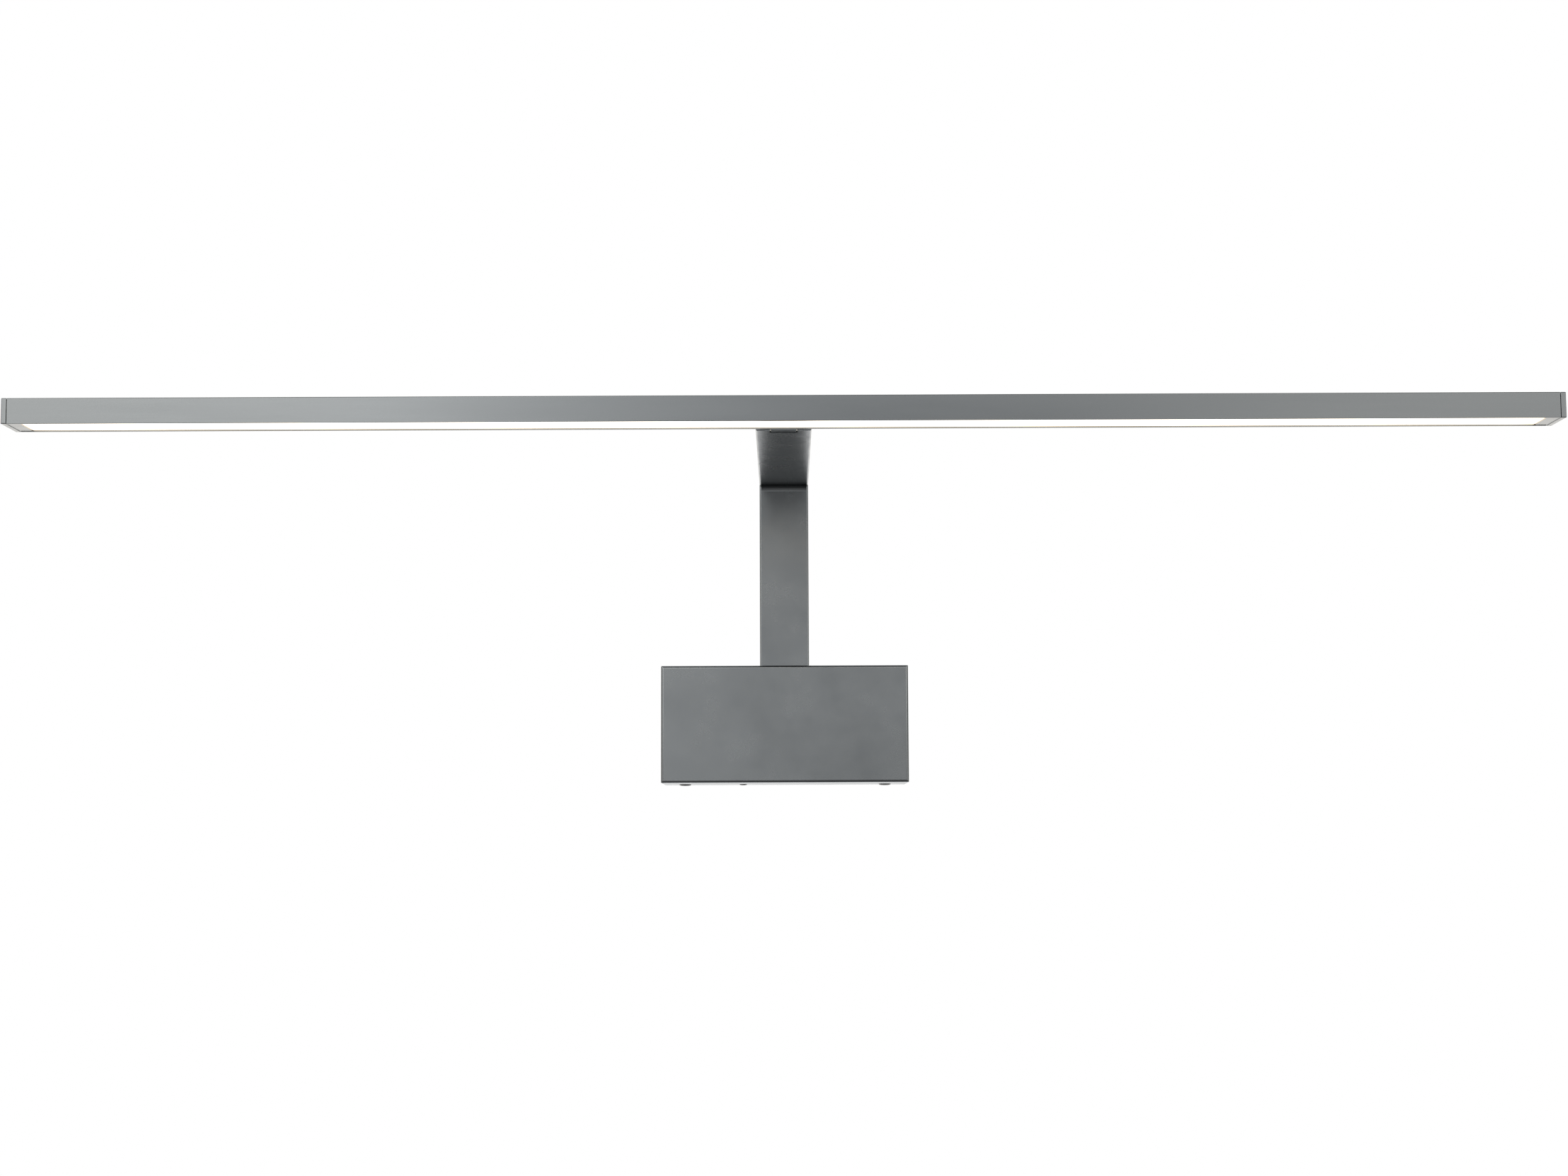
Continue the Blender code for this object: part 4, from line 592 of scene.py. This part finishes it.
def piece(node, shape, add=(), cut=(), edge=0.0, segments=3, sharp=30):
    """Makes the detailed piece that stands for a CAD node.

    The shapes in add are united with it and those in cut are taken out. Then edges that turn by more than
    sharp degrees are rounded by edge metres, and flat faces keep flat shading beside the rounded ones.
    """
    obj = as_object(node + "_detail", shape)
    tools = []
    for operation, shapes in (("UNION", add), ("DIFFERENCE", cut)):
        for other in shapes:
            tool = as_object("tool", other)
            step = obj.modifiers.new("step", "BOOLEAN")
            step.operation = operation
            step.object = tool
            tools.append(tool)
    if edge:
        bevel = obj.modifiers.new("edge", "BEVEL")
        bevel.limit_method = "ANGLE"
        bevel.angle_limit = math.radians(sharp)
        bevel.width = edge
        bevel.segments = segments
        bevel.miter_outer = "MITER_ARC"
    mesh = baked(obj)
    for tool in tools:
        bpy.data.objects.remove(tool)
    mesh.shade_smooth()
    mesh.set_sharp_from_angle(angle=math.radians(40 if edge else sharp))
    weighted = obj.modifiers.new("weighted", "WEIGHTED_NORMAL")
    weighted.keep_sharp = True
    weighted.weight = 100
    mesh = baked(obj)
    mesh.name = node
    mesh.materials.clear()
    mesh.materials.append(FINISHES[SLOT_OF[node]])
    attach(obj, BODY_OF[node])
    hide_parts(node)


# ---- screws ------------------------------------------------------------------------------------
def cross_recess(top, outward, radius, depth):
    """Cutter for a tapering cross recess in a head that faces along outward."""
    shape = bmesh.new()
    rings = []
    for height, scale in ((0.2 * depth, 1.05), (-depth, 0.45)):
        reach, width = radius * scale, radius * 0.30 * scale
        outline = [
            (width, width), (width, reach), (-width, reach), (-width, width),
            (-reach, width), (-reach, -width), (-width, -width), (-width, -reach),
            (width, -reach), (width, -width), (reach, -width), (reach, width),
        ]
        rings.append([shape.verts.new((u, v, height)) for u, v in outline])
    shape.faces.new(rings[0])
    shape.faces.new(list(reversed(rings[1])))
    count = len(rings[0])
    for i in range(count):
        j = (i + 1) % count
        shape.faces.new((rings[0][i], rings[1][i], rings[1][j], rings[0][j]))
    turn = Vector((0, 0, 1)).rotation_difference(Vector(outward))
    spin = Matrix.Rotation(math.radians(24), 3, "Z")
    bmesh.ops.rotate(shape, verts=shape.verts, matrix=turn.to_matrix() @ spin)
    bmesh.ops.translate(shape, verts=shape.verts, vec=Vector(top))
    return shape


def pan_profile(radius, height, shank, length):
    """Low domed head, then a plain shank with a short lead-in."""
    profile = []
    for degrees in (90, 70, 50, 32, 16, 0):
        angle = math.radians(degrees)
        profile.append((height * (1 - math.sin(angle)), radius * (0.35 + 0.65 * math.cos(angle))))
    tip, lead_in = height + length, 0.3 * MM
    profile.extend([(height, radius * 0.97), (height, shank), (tip - lead_in, shank), (tip, shank - lead_in)])
    return profile


def make_cover_screws():
    """The low-head screws in the box's underside, with cross recesses."""
    for node, (head, recess, shank, _, _) in COVER_SCREWS.items():
        low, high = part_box(node)
        middle = middle_of(node)
        top = (middle.x, middle.y, low.z)
        profile = pan_profile((high.x - low.x) / 2, head, shank, high.z - low.z - head)
        cutter = cross_recess(top, (0, 0, -1), recess, recess * 0.55)
        piece(node, turned(top, (0, 0, 1), profile), cut=[cutter], sharp=28)


def make_head_screws():
    """Countersunk screws in the back wall of the head."""
    for kind, shank in (("tilt_bracket_screw", 1.25 * MM), ("end_cap_screw", 1.0 * MM)):
        for side in ("left", "right"):
            node = f"{kind}_{side}"
            low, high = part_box(node)
            middle = middle_of(node)
            radius = (high.x - low.x) / 2
            length = high.y - low.y
            rim, lead_in = 0.08 * MM, 0.2 * MM
            profile = [
                (0.0, radius - rim), (rim, radius), (rim + radius - shank, shank),
                (length - lead_in, shank), (length, shank - lead_in),
            ]
            top = (middle.x, high.y, middle.z)
            recess = cross_recess(top, (0, 1, 0), radius * 0.6, 0.7 * MM)
            piece(node, turned(top, (0, -1, 0), profile), cut=[recess], sharp=28)


def pivot_screw(node, side):
    """Dog-point set screw with a hexagon socket."""
    low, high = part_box(node)
    outer, inner = (low.x, high.x) if side < 0 else (high.x, low.x)
    radius, chamfer, lead_in = (high.z - low.z) / 2, 0.3 * MM, 0.2 * MM
    length, shoulder = abs(outer - inner), abs(outer) - 5.6 * MM
    profile = [
        (0.0, radius - chamfer), (chamfer, radius), (shoulder, radius), (shoulder, DOG_RADIUS),
        (length - lead_in, DOG_RADIUS), (length, DOG_RADIUS - lead_in),
    ]
    start = Vector((outer, PIVOT.y, PIVOT.z))
    outward = Vector((side, 0, 0))
    socket = round_bar(start + outward * MM, start - outward * 2 * MM, 1.15 * MM, 6)
    piece(node, turned(start, -outward, profile), cut=[socket], sharp=28)


def friction_washer(node, side):
    """Nylon washer beside the tongue."""
    low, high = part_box(node)
    near, far = sorted((low.x, high.x), key=abs)
    radius, chamfer, width = (high.z - low.z) / 2, 0.06 * MM, abs(far - near)
    profile = [
        (0.0, radius - chamfer), (chamfer, radius), (width - chamfer, radius), (width, radius - chamfer),
    ]
    hole = round_bar((near - side * MM, PIVOT.y, PIVOT.z), (far + side * MM, PIVOT.y, PIVOT.z), 1.45 * MM)
    piece(node, turned((near, PIVOT.y, PIVOT.z), (side, 0, 0), profile, 64), cut=[hole], sharp=28)


def make_pivots():
    for name, side in (("left", -1), ("right", 1)):
        pivot_screw(f"pivot_screw_{name}", side)
        friction_washer(f"friction_washer_{name}", side)


# ---- wall box ----------------------------------------------------------------------------------
def make_box_cover():
    """The folded cover: open at the back and notched behind the arm, with soft edges in front."""
    low, high = COVER_LOW, COVER_HIGH
    middle = (low.y + high.y) / 2
    shell = rounded(block(low, high), COVER_RADIUS, 8, lambda e: max(v.co.y for v in e.verts) < middle)
    inside = rounded(
        block(low + Vector((SHEET, SHEET, SHEET)), (high.x - SHEET, high.y + 3 * MM, high.z - SHEET)),
        0.5 * MM,
        3,
        lambda e: max(v.co.y for v in e.verts) < 0,
    )
    side = ARM_HALF + NOTCH_GAP
    notch = block((-side, UPRIGHT_LOW.y - NOTCH_GAP, high.z - SHEET - MM), (side, 3 * MM, high.z + MM))
    holes = []
    for node, (_, _, _, hole, _) in COVER_SCREWS.items():
        at = middle_of(node)
        holes.append(round_bar((at.x, at.y, low.z - MM), (at.x, at.y, low.z + 2.5 * MM), hole + 0.05 * MM))
    piece("box_cover", shell, cut=[inside, notch, *holes], edge=0.35 * MM, segments=4)


def plate_tab(x, width, reach, outer, sign):
    """A tab folded forward from the plate, above it where sign is 1 and below it where sign is -1."""
    root = PLATE_HALF - 1 * MM
    bend = arc((-PLATE_BEND, outer - PLATE_BEND), PLATE_BEND, 0, 90, 6)
    profile = [
        (0, root), (0, outer - PLATE_BEND), *bend, (-reach, outer),
        (-reach, outer - SHEET), (-SHEET, outer - SHEET), (-SHEET, root),
    ]
    return prism([(y, sign * z) for y, z in profile], x - width / 2, x + width / 2)


def make_wall_plate():
    """The folded plate, with its slots, holes, lower tabs, upper hooks and the tab behind the arm."""
    low, high = PLATE_LOW, PLATE_HIGH
    outline = round_rectangle((low.x, high.x), (-PLATE_HALF, PLATE_HALF), 2 * MM, 8)
    plate = prism(outline, -SHEET, 0, "Y")
    tabs, cuts = [], []
    for node, (_, _, _, _, width) in COVER_SCREWS.items():
        tabs.append(plate_tab(middle_of(node).x, width, 20 * MM, -low.z, -1))
    for x in (-HOOK_X, HOOK_X):
        tabs.append(plate_tab(x, 14 * MM, 8 * MM, -low.z, 1))
    tabs.append(plate_tab(0, 2 * ARM_HALF, -UPRIGHT_HIGH.y - NOTCH_GAP, high.z, 1))
    for x in (-WALL_SLOT_X, WALL_SLOT_X):
        slot = round_rectangle((x - 2.5 * MM, x + 2.5 * MM), (-5.5 * MM, 5.5 * MM), WALL_SLOT_RADIUS, 12)
        cuts.append(prism(slot, -3 * MM, 1 * MM, "Y"))
    for node, radius in (
        ("cable_entry_bush", 7.0 * MM),
        ("bracket_screw_upper", SCREW_HOLE),
        ("bracket_screw_lower", SCREW_HOLE),
        ("earth_screw", SCREW_HOLE),
        ("terminal_block_screw", 1.4 * MM),
    ):
        at = middle_of(node)
        cuts.append(round_bar((at.x, 1 * MM, at.z), (at.x, -3 * MM, at.z), radius))
    for node, (_, _, _, hole, _) in COVER_SCREWS.items():
        at = middle_of(node)
        cuts.append(round_bar((at.x, at.y, low.z - MM), (at.x, at.y, low.z + 4 * MM), hole))
    piece("wall_plate", plate, add=tabs, cut=cuts, edge=0.12 * MM, segments=2)


def make_cable_bush():
    """Snap-in rubber bush with a rolled lip."""
    low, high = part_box("cable_entry_bush")
    middle = middle_of("cable_entry_bush")
    flange, barrel, bore = (high.x - low.x) / 2, 6.85 * MM, 4.0 * MM
    front, back, deep = 1.6 * MM, -high.y, -low.y
    lip, edge, count = 1.1 * MM, 0.3 * MM, 64
    profile = [
        (back, bore + edge), (back, barrel - edge), (back + edge, barrel), (front, barrel),
        (front, flange - edge),
    ]
    for degrees in range(-60, 91, 30):
        angle = math.radians(degrees)
        along = front + lip / 2 + lip / 2 * math.sin(angle)
        profile.append((along, flange - edge + edge * math.cos(angle)))
    profile.extend([(deep, bore + 1.2 * MM), (deep, bore + edge), (deep - edge, bore), (back + edge, bore)])
    turns = [math.tau * i / count for i in range(count)]
    rings = [
        [(middle.x + radius * math.cos(turn), -along, middle.z + radius * math.sin(turn)) for turn in turns]
        for along, radius in profile
    ]
    piece("cable_entry_bush", sleeve(rings), sharp=50)


# ---- arm ---------------------------------------------------------------------------------------
def arm_outline(inset, low):
    """The arm's outline, drawn in by inset: x first, then its thickness from low up."""
    half = ARM_HALF - inset
    radius = max(ARM_RADIUS - inset, 0.35 * MM)
    return round_rectangle((-half, half), (low + inset, low + ARM_THICKNESS - inset), radius)


def corner_fillet(along_upright):
    """One half of the hollow fillet in the arm's inner corner, on one side of the mitre."""
    radius, half, root = 2.6 * MM, ARM_HALF - 0.75 * MM, 0.6 * MM
    y, z = UPRIGHT_LOW.y, FORWARD_LOW.z
    shift = MITRE_GAP + 0.01 * MM
    centre = (y - radius, z - radius)
    if along_upright:
        bow = list(arc(centre, radius, 0, 45, 8))
        bow[-1] = (bow[-1][0], bow[-1][1] - shift)
        outline = [(y + root, z - radius), *bow, (y + root, z + root - shift)]
    else:
        bow = list(arc(centre, radius, 90, 45, 8))
        bow[-1] = (bow[-1][0] - shift, bow[-1][1])
        outline = [(y - radius, z + root), *bow, (y + root - shift, z + root)]
    return prism(outline, -half, half)


def make_upright():
    """The rising tube, cut square at the foot and mitred at the top."""
    low_y, foot = UPRIGHT_LOW.y, UPRIGHT_LOW.z
    end = MITRE_SUM - MITRE_GAP
    upright = sleeve([
        [(x, y, foot) for x, y in arm_outline(0, low_y)],
        [(x, y, y + end - GROOVE_BACK) for x, y in arm_outline(0, low_y)],
        [(x, y, y + end) for x, y in arm_outline(GROOVE_DEEP, low_y)],
        [(x, y, y + end) for x, y in arm_outline(ARM_WALL, low_y)],
        [(x, y, foot) for x, y in arm_outline(ARM_WALL, low_y)],
    ])
    back = UPRIGHT_HIGH.y
    cuts = []
    for node in ("arm_screw_upper", "arm_screw_lower"):
        z = middle_of(node).z
        cuts.append(round_bar((0, back - 3 * MM, z), (0, back + 2 * MM, z), SCREW_HOLE))
    at = middle_of("arm_grommet")
    cuts.append(round_bar((7 * MM, at.y, at.z), (PAST_ARM, at.y, at.z), GROMMET_HOLE))
    piece("arm_upright", upright, add=[corner_fillet(True)], cut=cuts, sharp=40)


def make_forward():
    """The horizontal tube, mitred at the back, with two round ears in front."""
    low_z = FORWARD_LOW.z
    end = -MITRE_SUM - MITRE_GAP
    forward = sleeve([
        [(x, ARM_TIP, z) for x, z in arm_outline(0, low_z)],
        [(x, z + end - GROOVE_BACK, z) for x, z in arm_outline(0, low_z)],
        [(x, z + end, z) for x, z in arm_outline(GROOVE_DEEP, low_z)],
        [(x, z + end, z) for x, z in arm_outline(ARM_WALL, low_z)],
        [(x, ARM_TIP, z) for x, z in arm_outline(ARM_WALL, low_z)],
    ])
    cutters = fork_cutters(EAR_RADIUS)
    piece("arm_forward", forward, add=[corner_fillet(False)], cut=cutters, edge=0.18 * MM, sharp=40)


def make_insert():
    """The aluminium block inside the fork, a little short of the ears' round ends."""
    low, high = INSERT_LOW, INSERT_HIGH
    insert = block((low.x, ARM_TIP, low.z), high)
    wire = round_bar((0, PIVOT.y, LEAD_Z), (0, high.y + MM, LEAD_Z), 1.5 * MM)
    piece("fork_insert", insert, cut=[*fork_cutters(EAR_RADIUS - 0.2 * MM), wire], edge=0.2 * MM)


def fork_cutters(radius):
    """Cutters for the slot between the ears, their round ends and the holes for the pivots."""
    y, z = PIVOT.y, PIVOT.z
    front, reach = ARM_TIP - 2 * MM, 8 * MM
    lip = math.degrees(math.acos(SLOT_LIP / SLOT_RADIUS))
    outline = [(y + SLOT_LIP, z + reach), (front, z + reach), (front, z - reach), (y + SLOT_LIP, z - reach)]
    outline.extend(arc((y, z), SLOT_RADIUS, -lip, lip, 28))
    slot = prism(outline, -SLOT_HALF, SLOT_HALF)
    past = 12 * MM
    outline = [(y, z + past), (y - past, z + past), (y - past, z - past), (y, z - past)]
    outline.extend(arc((y, z), radius, 270, 90, 40))
    ends = prism(outline, -PAST_ARM, PAST_ARM)
    holes = round_bar((-PAST_ARM, y, z), (PAST_ARM, y, z), PIVOT_HOLE)
    return [slot, ends, holes]


# ---- hinge -------------------------------------------------------------------------------------
def make_tilt_bracket():
    """Round tongue, neck and the plate that is screwed inside the head."""
    y, z = PIVOT.y, PIVOT.z
    half = TONGUE_HALF
    front, back = TONGUE_LOW.y, HOUSING_HIGH.y - HOUSING_WALL - 0.1 * MM
    plate_half = TONGUE_HIGH.x
    corner = math.degrees(math.asin(TONGUE_FLAT / TONGUE_RADIUS))
    outline = [
        *arc((y, z), TONGUE_RADIUS, -corner, corner, 36),
        *arc((y, z), TONGUE_RADIUS, 180 - corner, 180 + corner, 36),
    ]
    tongue = prism(outline, -half, half)
    neck = block((-half + 0.1 * MM, front + 0.2 * MM, NECK_LOW), (half - 0.1 * MM, y, NECK_HIGH))
    plate = block((-plate_half, front, NECK_LOW + 0.05 * MM), (plate_half, back, NECK_HIGH + 0.3 * MM))
    cuts = [
        round_bar((0, y + 6 * MM, LEAD_Z), (0, front - MM, LEAD_Z), 1.25 * MM),
        block((-1.6 * MM, y + 0.8 * MM, z - 3.4 * MM), (1.6 * MM, y + 6 * MM, z + 3.4 * MM)),
    ]
    screw_x = middle_of("tilt_bracket_screw_right").x
    for side in (-1, 1):
        x = side * screw_x
        cuts.append(round_bar((side * 2.1 * MM, y, z), (side * (half + MM), y, z), DOG_HOLE))
        cuts.append(round_bar((x, front - MM, LEAD_Z), (x, back + MM, LEAD_Z), TILT_SCREW_HOLE))
    piece("tilt_bracket", tongue, add=[neck, plate], cut=cuts, edge=0.2 * MM, sharp=28)


# ---- head --------------------------------------------------------------------------------------
def both_sides(half_outline):
    """Completes an outline that is given for the front wall by mirroring it about the head's middle."""
    middle = (HOUSING_LOW.y + HOUSING_HIGH.y) / 2
    return half_outline + [(2 * middle - y, z) for y, z in reversed(half_outline)]


def sink(x, radius, head_radius):
    """Cutter for a countersunk hole through the head's back wall, at the leads' height."""
    depth = head_radius - radius
    profile = [(-0.5 * MM, head_radius + 0.5 * MM), (depth, radius), (HOUSING_WALL + 0.8 * MM, radius)]
    return turned((x, HOUSING_HIGH.y, LEAD_Z), (0, -1, 0), profile)


def make_housing():
    """The extruded channel: open below, ribbed inside, with a window behind for the hinge."""
    low, high = HOUSING_LOW, HOUSING_HIGH
    inner, roof = low.y + HOUSING_WALL, high.z - ROOF
    corner, groove, lip = 0.5 * MM, 0.08 * MM, 0.14 * MM
    half = [
        (inner + corner, roof),
        (inner, roof - corner),
        (inner, RIB_HIGH),
        (inner + RIB, RIB_HIGH),
        (inner + RIB, RIB_LOW),
        (inner, RIB_LOW),
        (inner, low.z + groove),
        (inner - groove, low.z),
        *arc((low.y + lip, low.z + lip), lip, 270, 180, 4),
        *arc((low.y + HEAD_EDGE, high.z - HEAD_EDGE), HEAD_EDGE, 180, 90, 6),
    ]
    cuts = [block(
        (-WINDOW_HALF, high.y - 3 * MM, NECK_LOW - 0.3 * MM),
        (WINDOW_HALF, high.y + MM, NECK_HIGH + 0.4 * MM),
    )]
    tilt_x, cap_x = middle_of("tilt_bracket_screw_right").x, middle_of("end_cap_screw_right").x
    for side in (-1, 1):
        cuts.append(sink(side * tilt_x, TILT_SCREW_HOLE, 2.35 * MM))
        cuts.append(sink(side * cap_x, CAP_SCREW_HOLE, 1.95 * MM))
    piece("head_housing", prism(both_sides(half), low.x, high.x), cut=cuts, edge=0.05 * MM, segments=2)


def make_end_caps():
    """End plates with softened rims, each with a plug that closes the end of the channel."""
    low, high = CAP_LOW, CAP_HIGH
    gap = 0.2 * MM
    inner = low.y + HOUSING_WALL + gap
    half = [
        (inner, high.z - ROOF - gap),
        (inner, RIB_HIGH + gap),
        (inner + RIB, RIB_HIGH + gap),
        (inner + RIB, RIB_LOW - gap),
        (inner, RIB_LOW - gap),
        (inner, low.z + gap),
    ]
    outline = round_rectangle((low.y, high.y), (low.z, high.z), HEAD_EDGE)
    for name, side in (("left", -1), ("right", 1)):
        outer, face = side * high.x, side * (high.x - 2 * MM)
        rim = rounded(
            prism(outline, *sorted((face, outer))),
            0.3 * MM,
            4,
            lambda e: all(abs(v.co.x - outer) < 1e-6 for v in e.verts),
        )
        plug = prism(both_sides(half), *sorted((side * low.x, side * (high.x - 1 * MM))))
        x = middle_of(f"end_cap_screw_{name}").x
        thread = round_bar((x, high.y, LEAD_Z), (x, high.y - 6 * MM, LEAD_Z), CAP_SCREW_HOLE)
        piece(f"end_cap_{name}", rim, add=[plug], cut=[thread], edge=0.1 * MM, segments=2)


def make_diffuser():
    """Opal strip that clips over the ribs, with its lower corners rounded."""
    low, high = DIFFUSER_LOW, DIFFUSER_HIGH
    top = low.z + 1.35 * MM
    leg, leg_width, barb = low.y + 0.7 * MM, 0.8 * MM, 0.45 * MM
    over_rib = top + 0.97 * MM
    corner = 0.3 * MM
    half = [
        (leg + leg_width, top),
        (leg + leg_width, high.z),
        (leg, high.z),
        (leg - barb, over_rib),
        (leg, over_rib),
        (leg, top),
        (low.y, top),
        *arc((low.y + corner, low.z + corner), corner, 180, 270, 4),
    ]
    piece("diffuser", prism(both_sides(half), low.x, high.x), edge=0.1 * MM, segments=2)


def finish_inner_nodes():
    """The CAD pieces inside the box and the head keep their shapes and take a detailed finish."""
    for node, obj in frame["nodes"].items():
        if obj.hide_render:
            continue
        obj.data.materials.clear()
        obj.data.materials.append(FINISHES[SLOT_OF[node]])


make_studio()
make_box_cover()
make_wall_plate()
make_cable_bush()
make_cover_screws()
make_upright()
make_forward()
make_insert()
make_tilt_bracket()
make_pivots()
make_housing()
make_end_caps()
make_diffuser()
make_head_screws()
finish_inner_nodes()
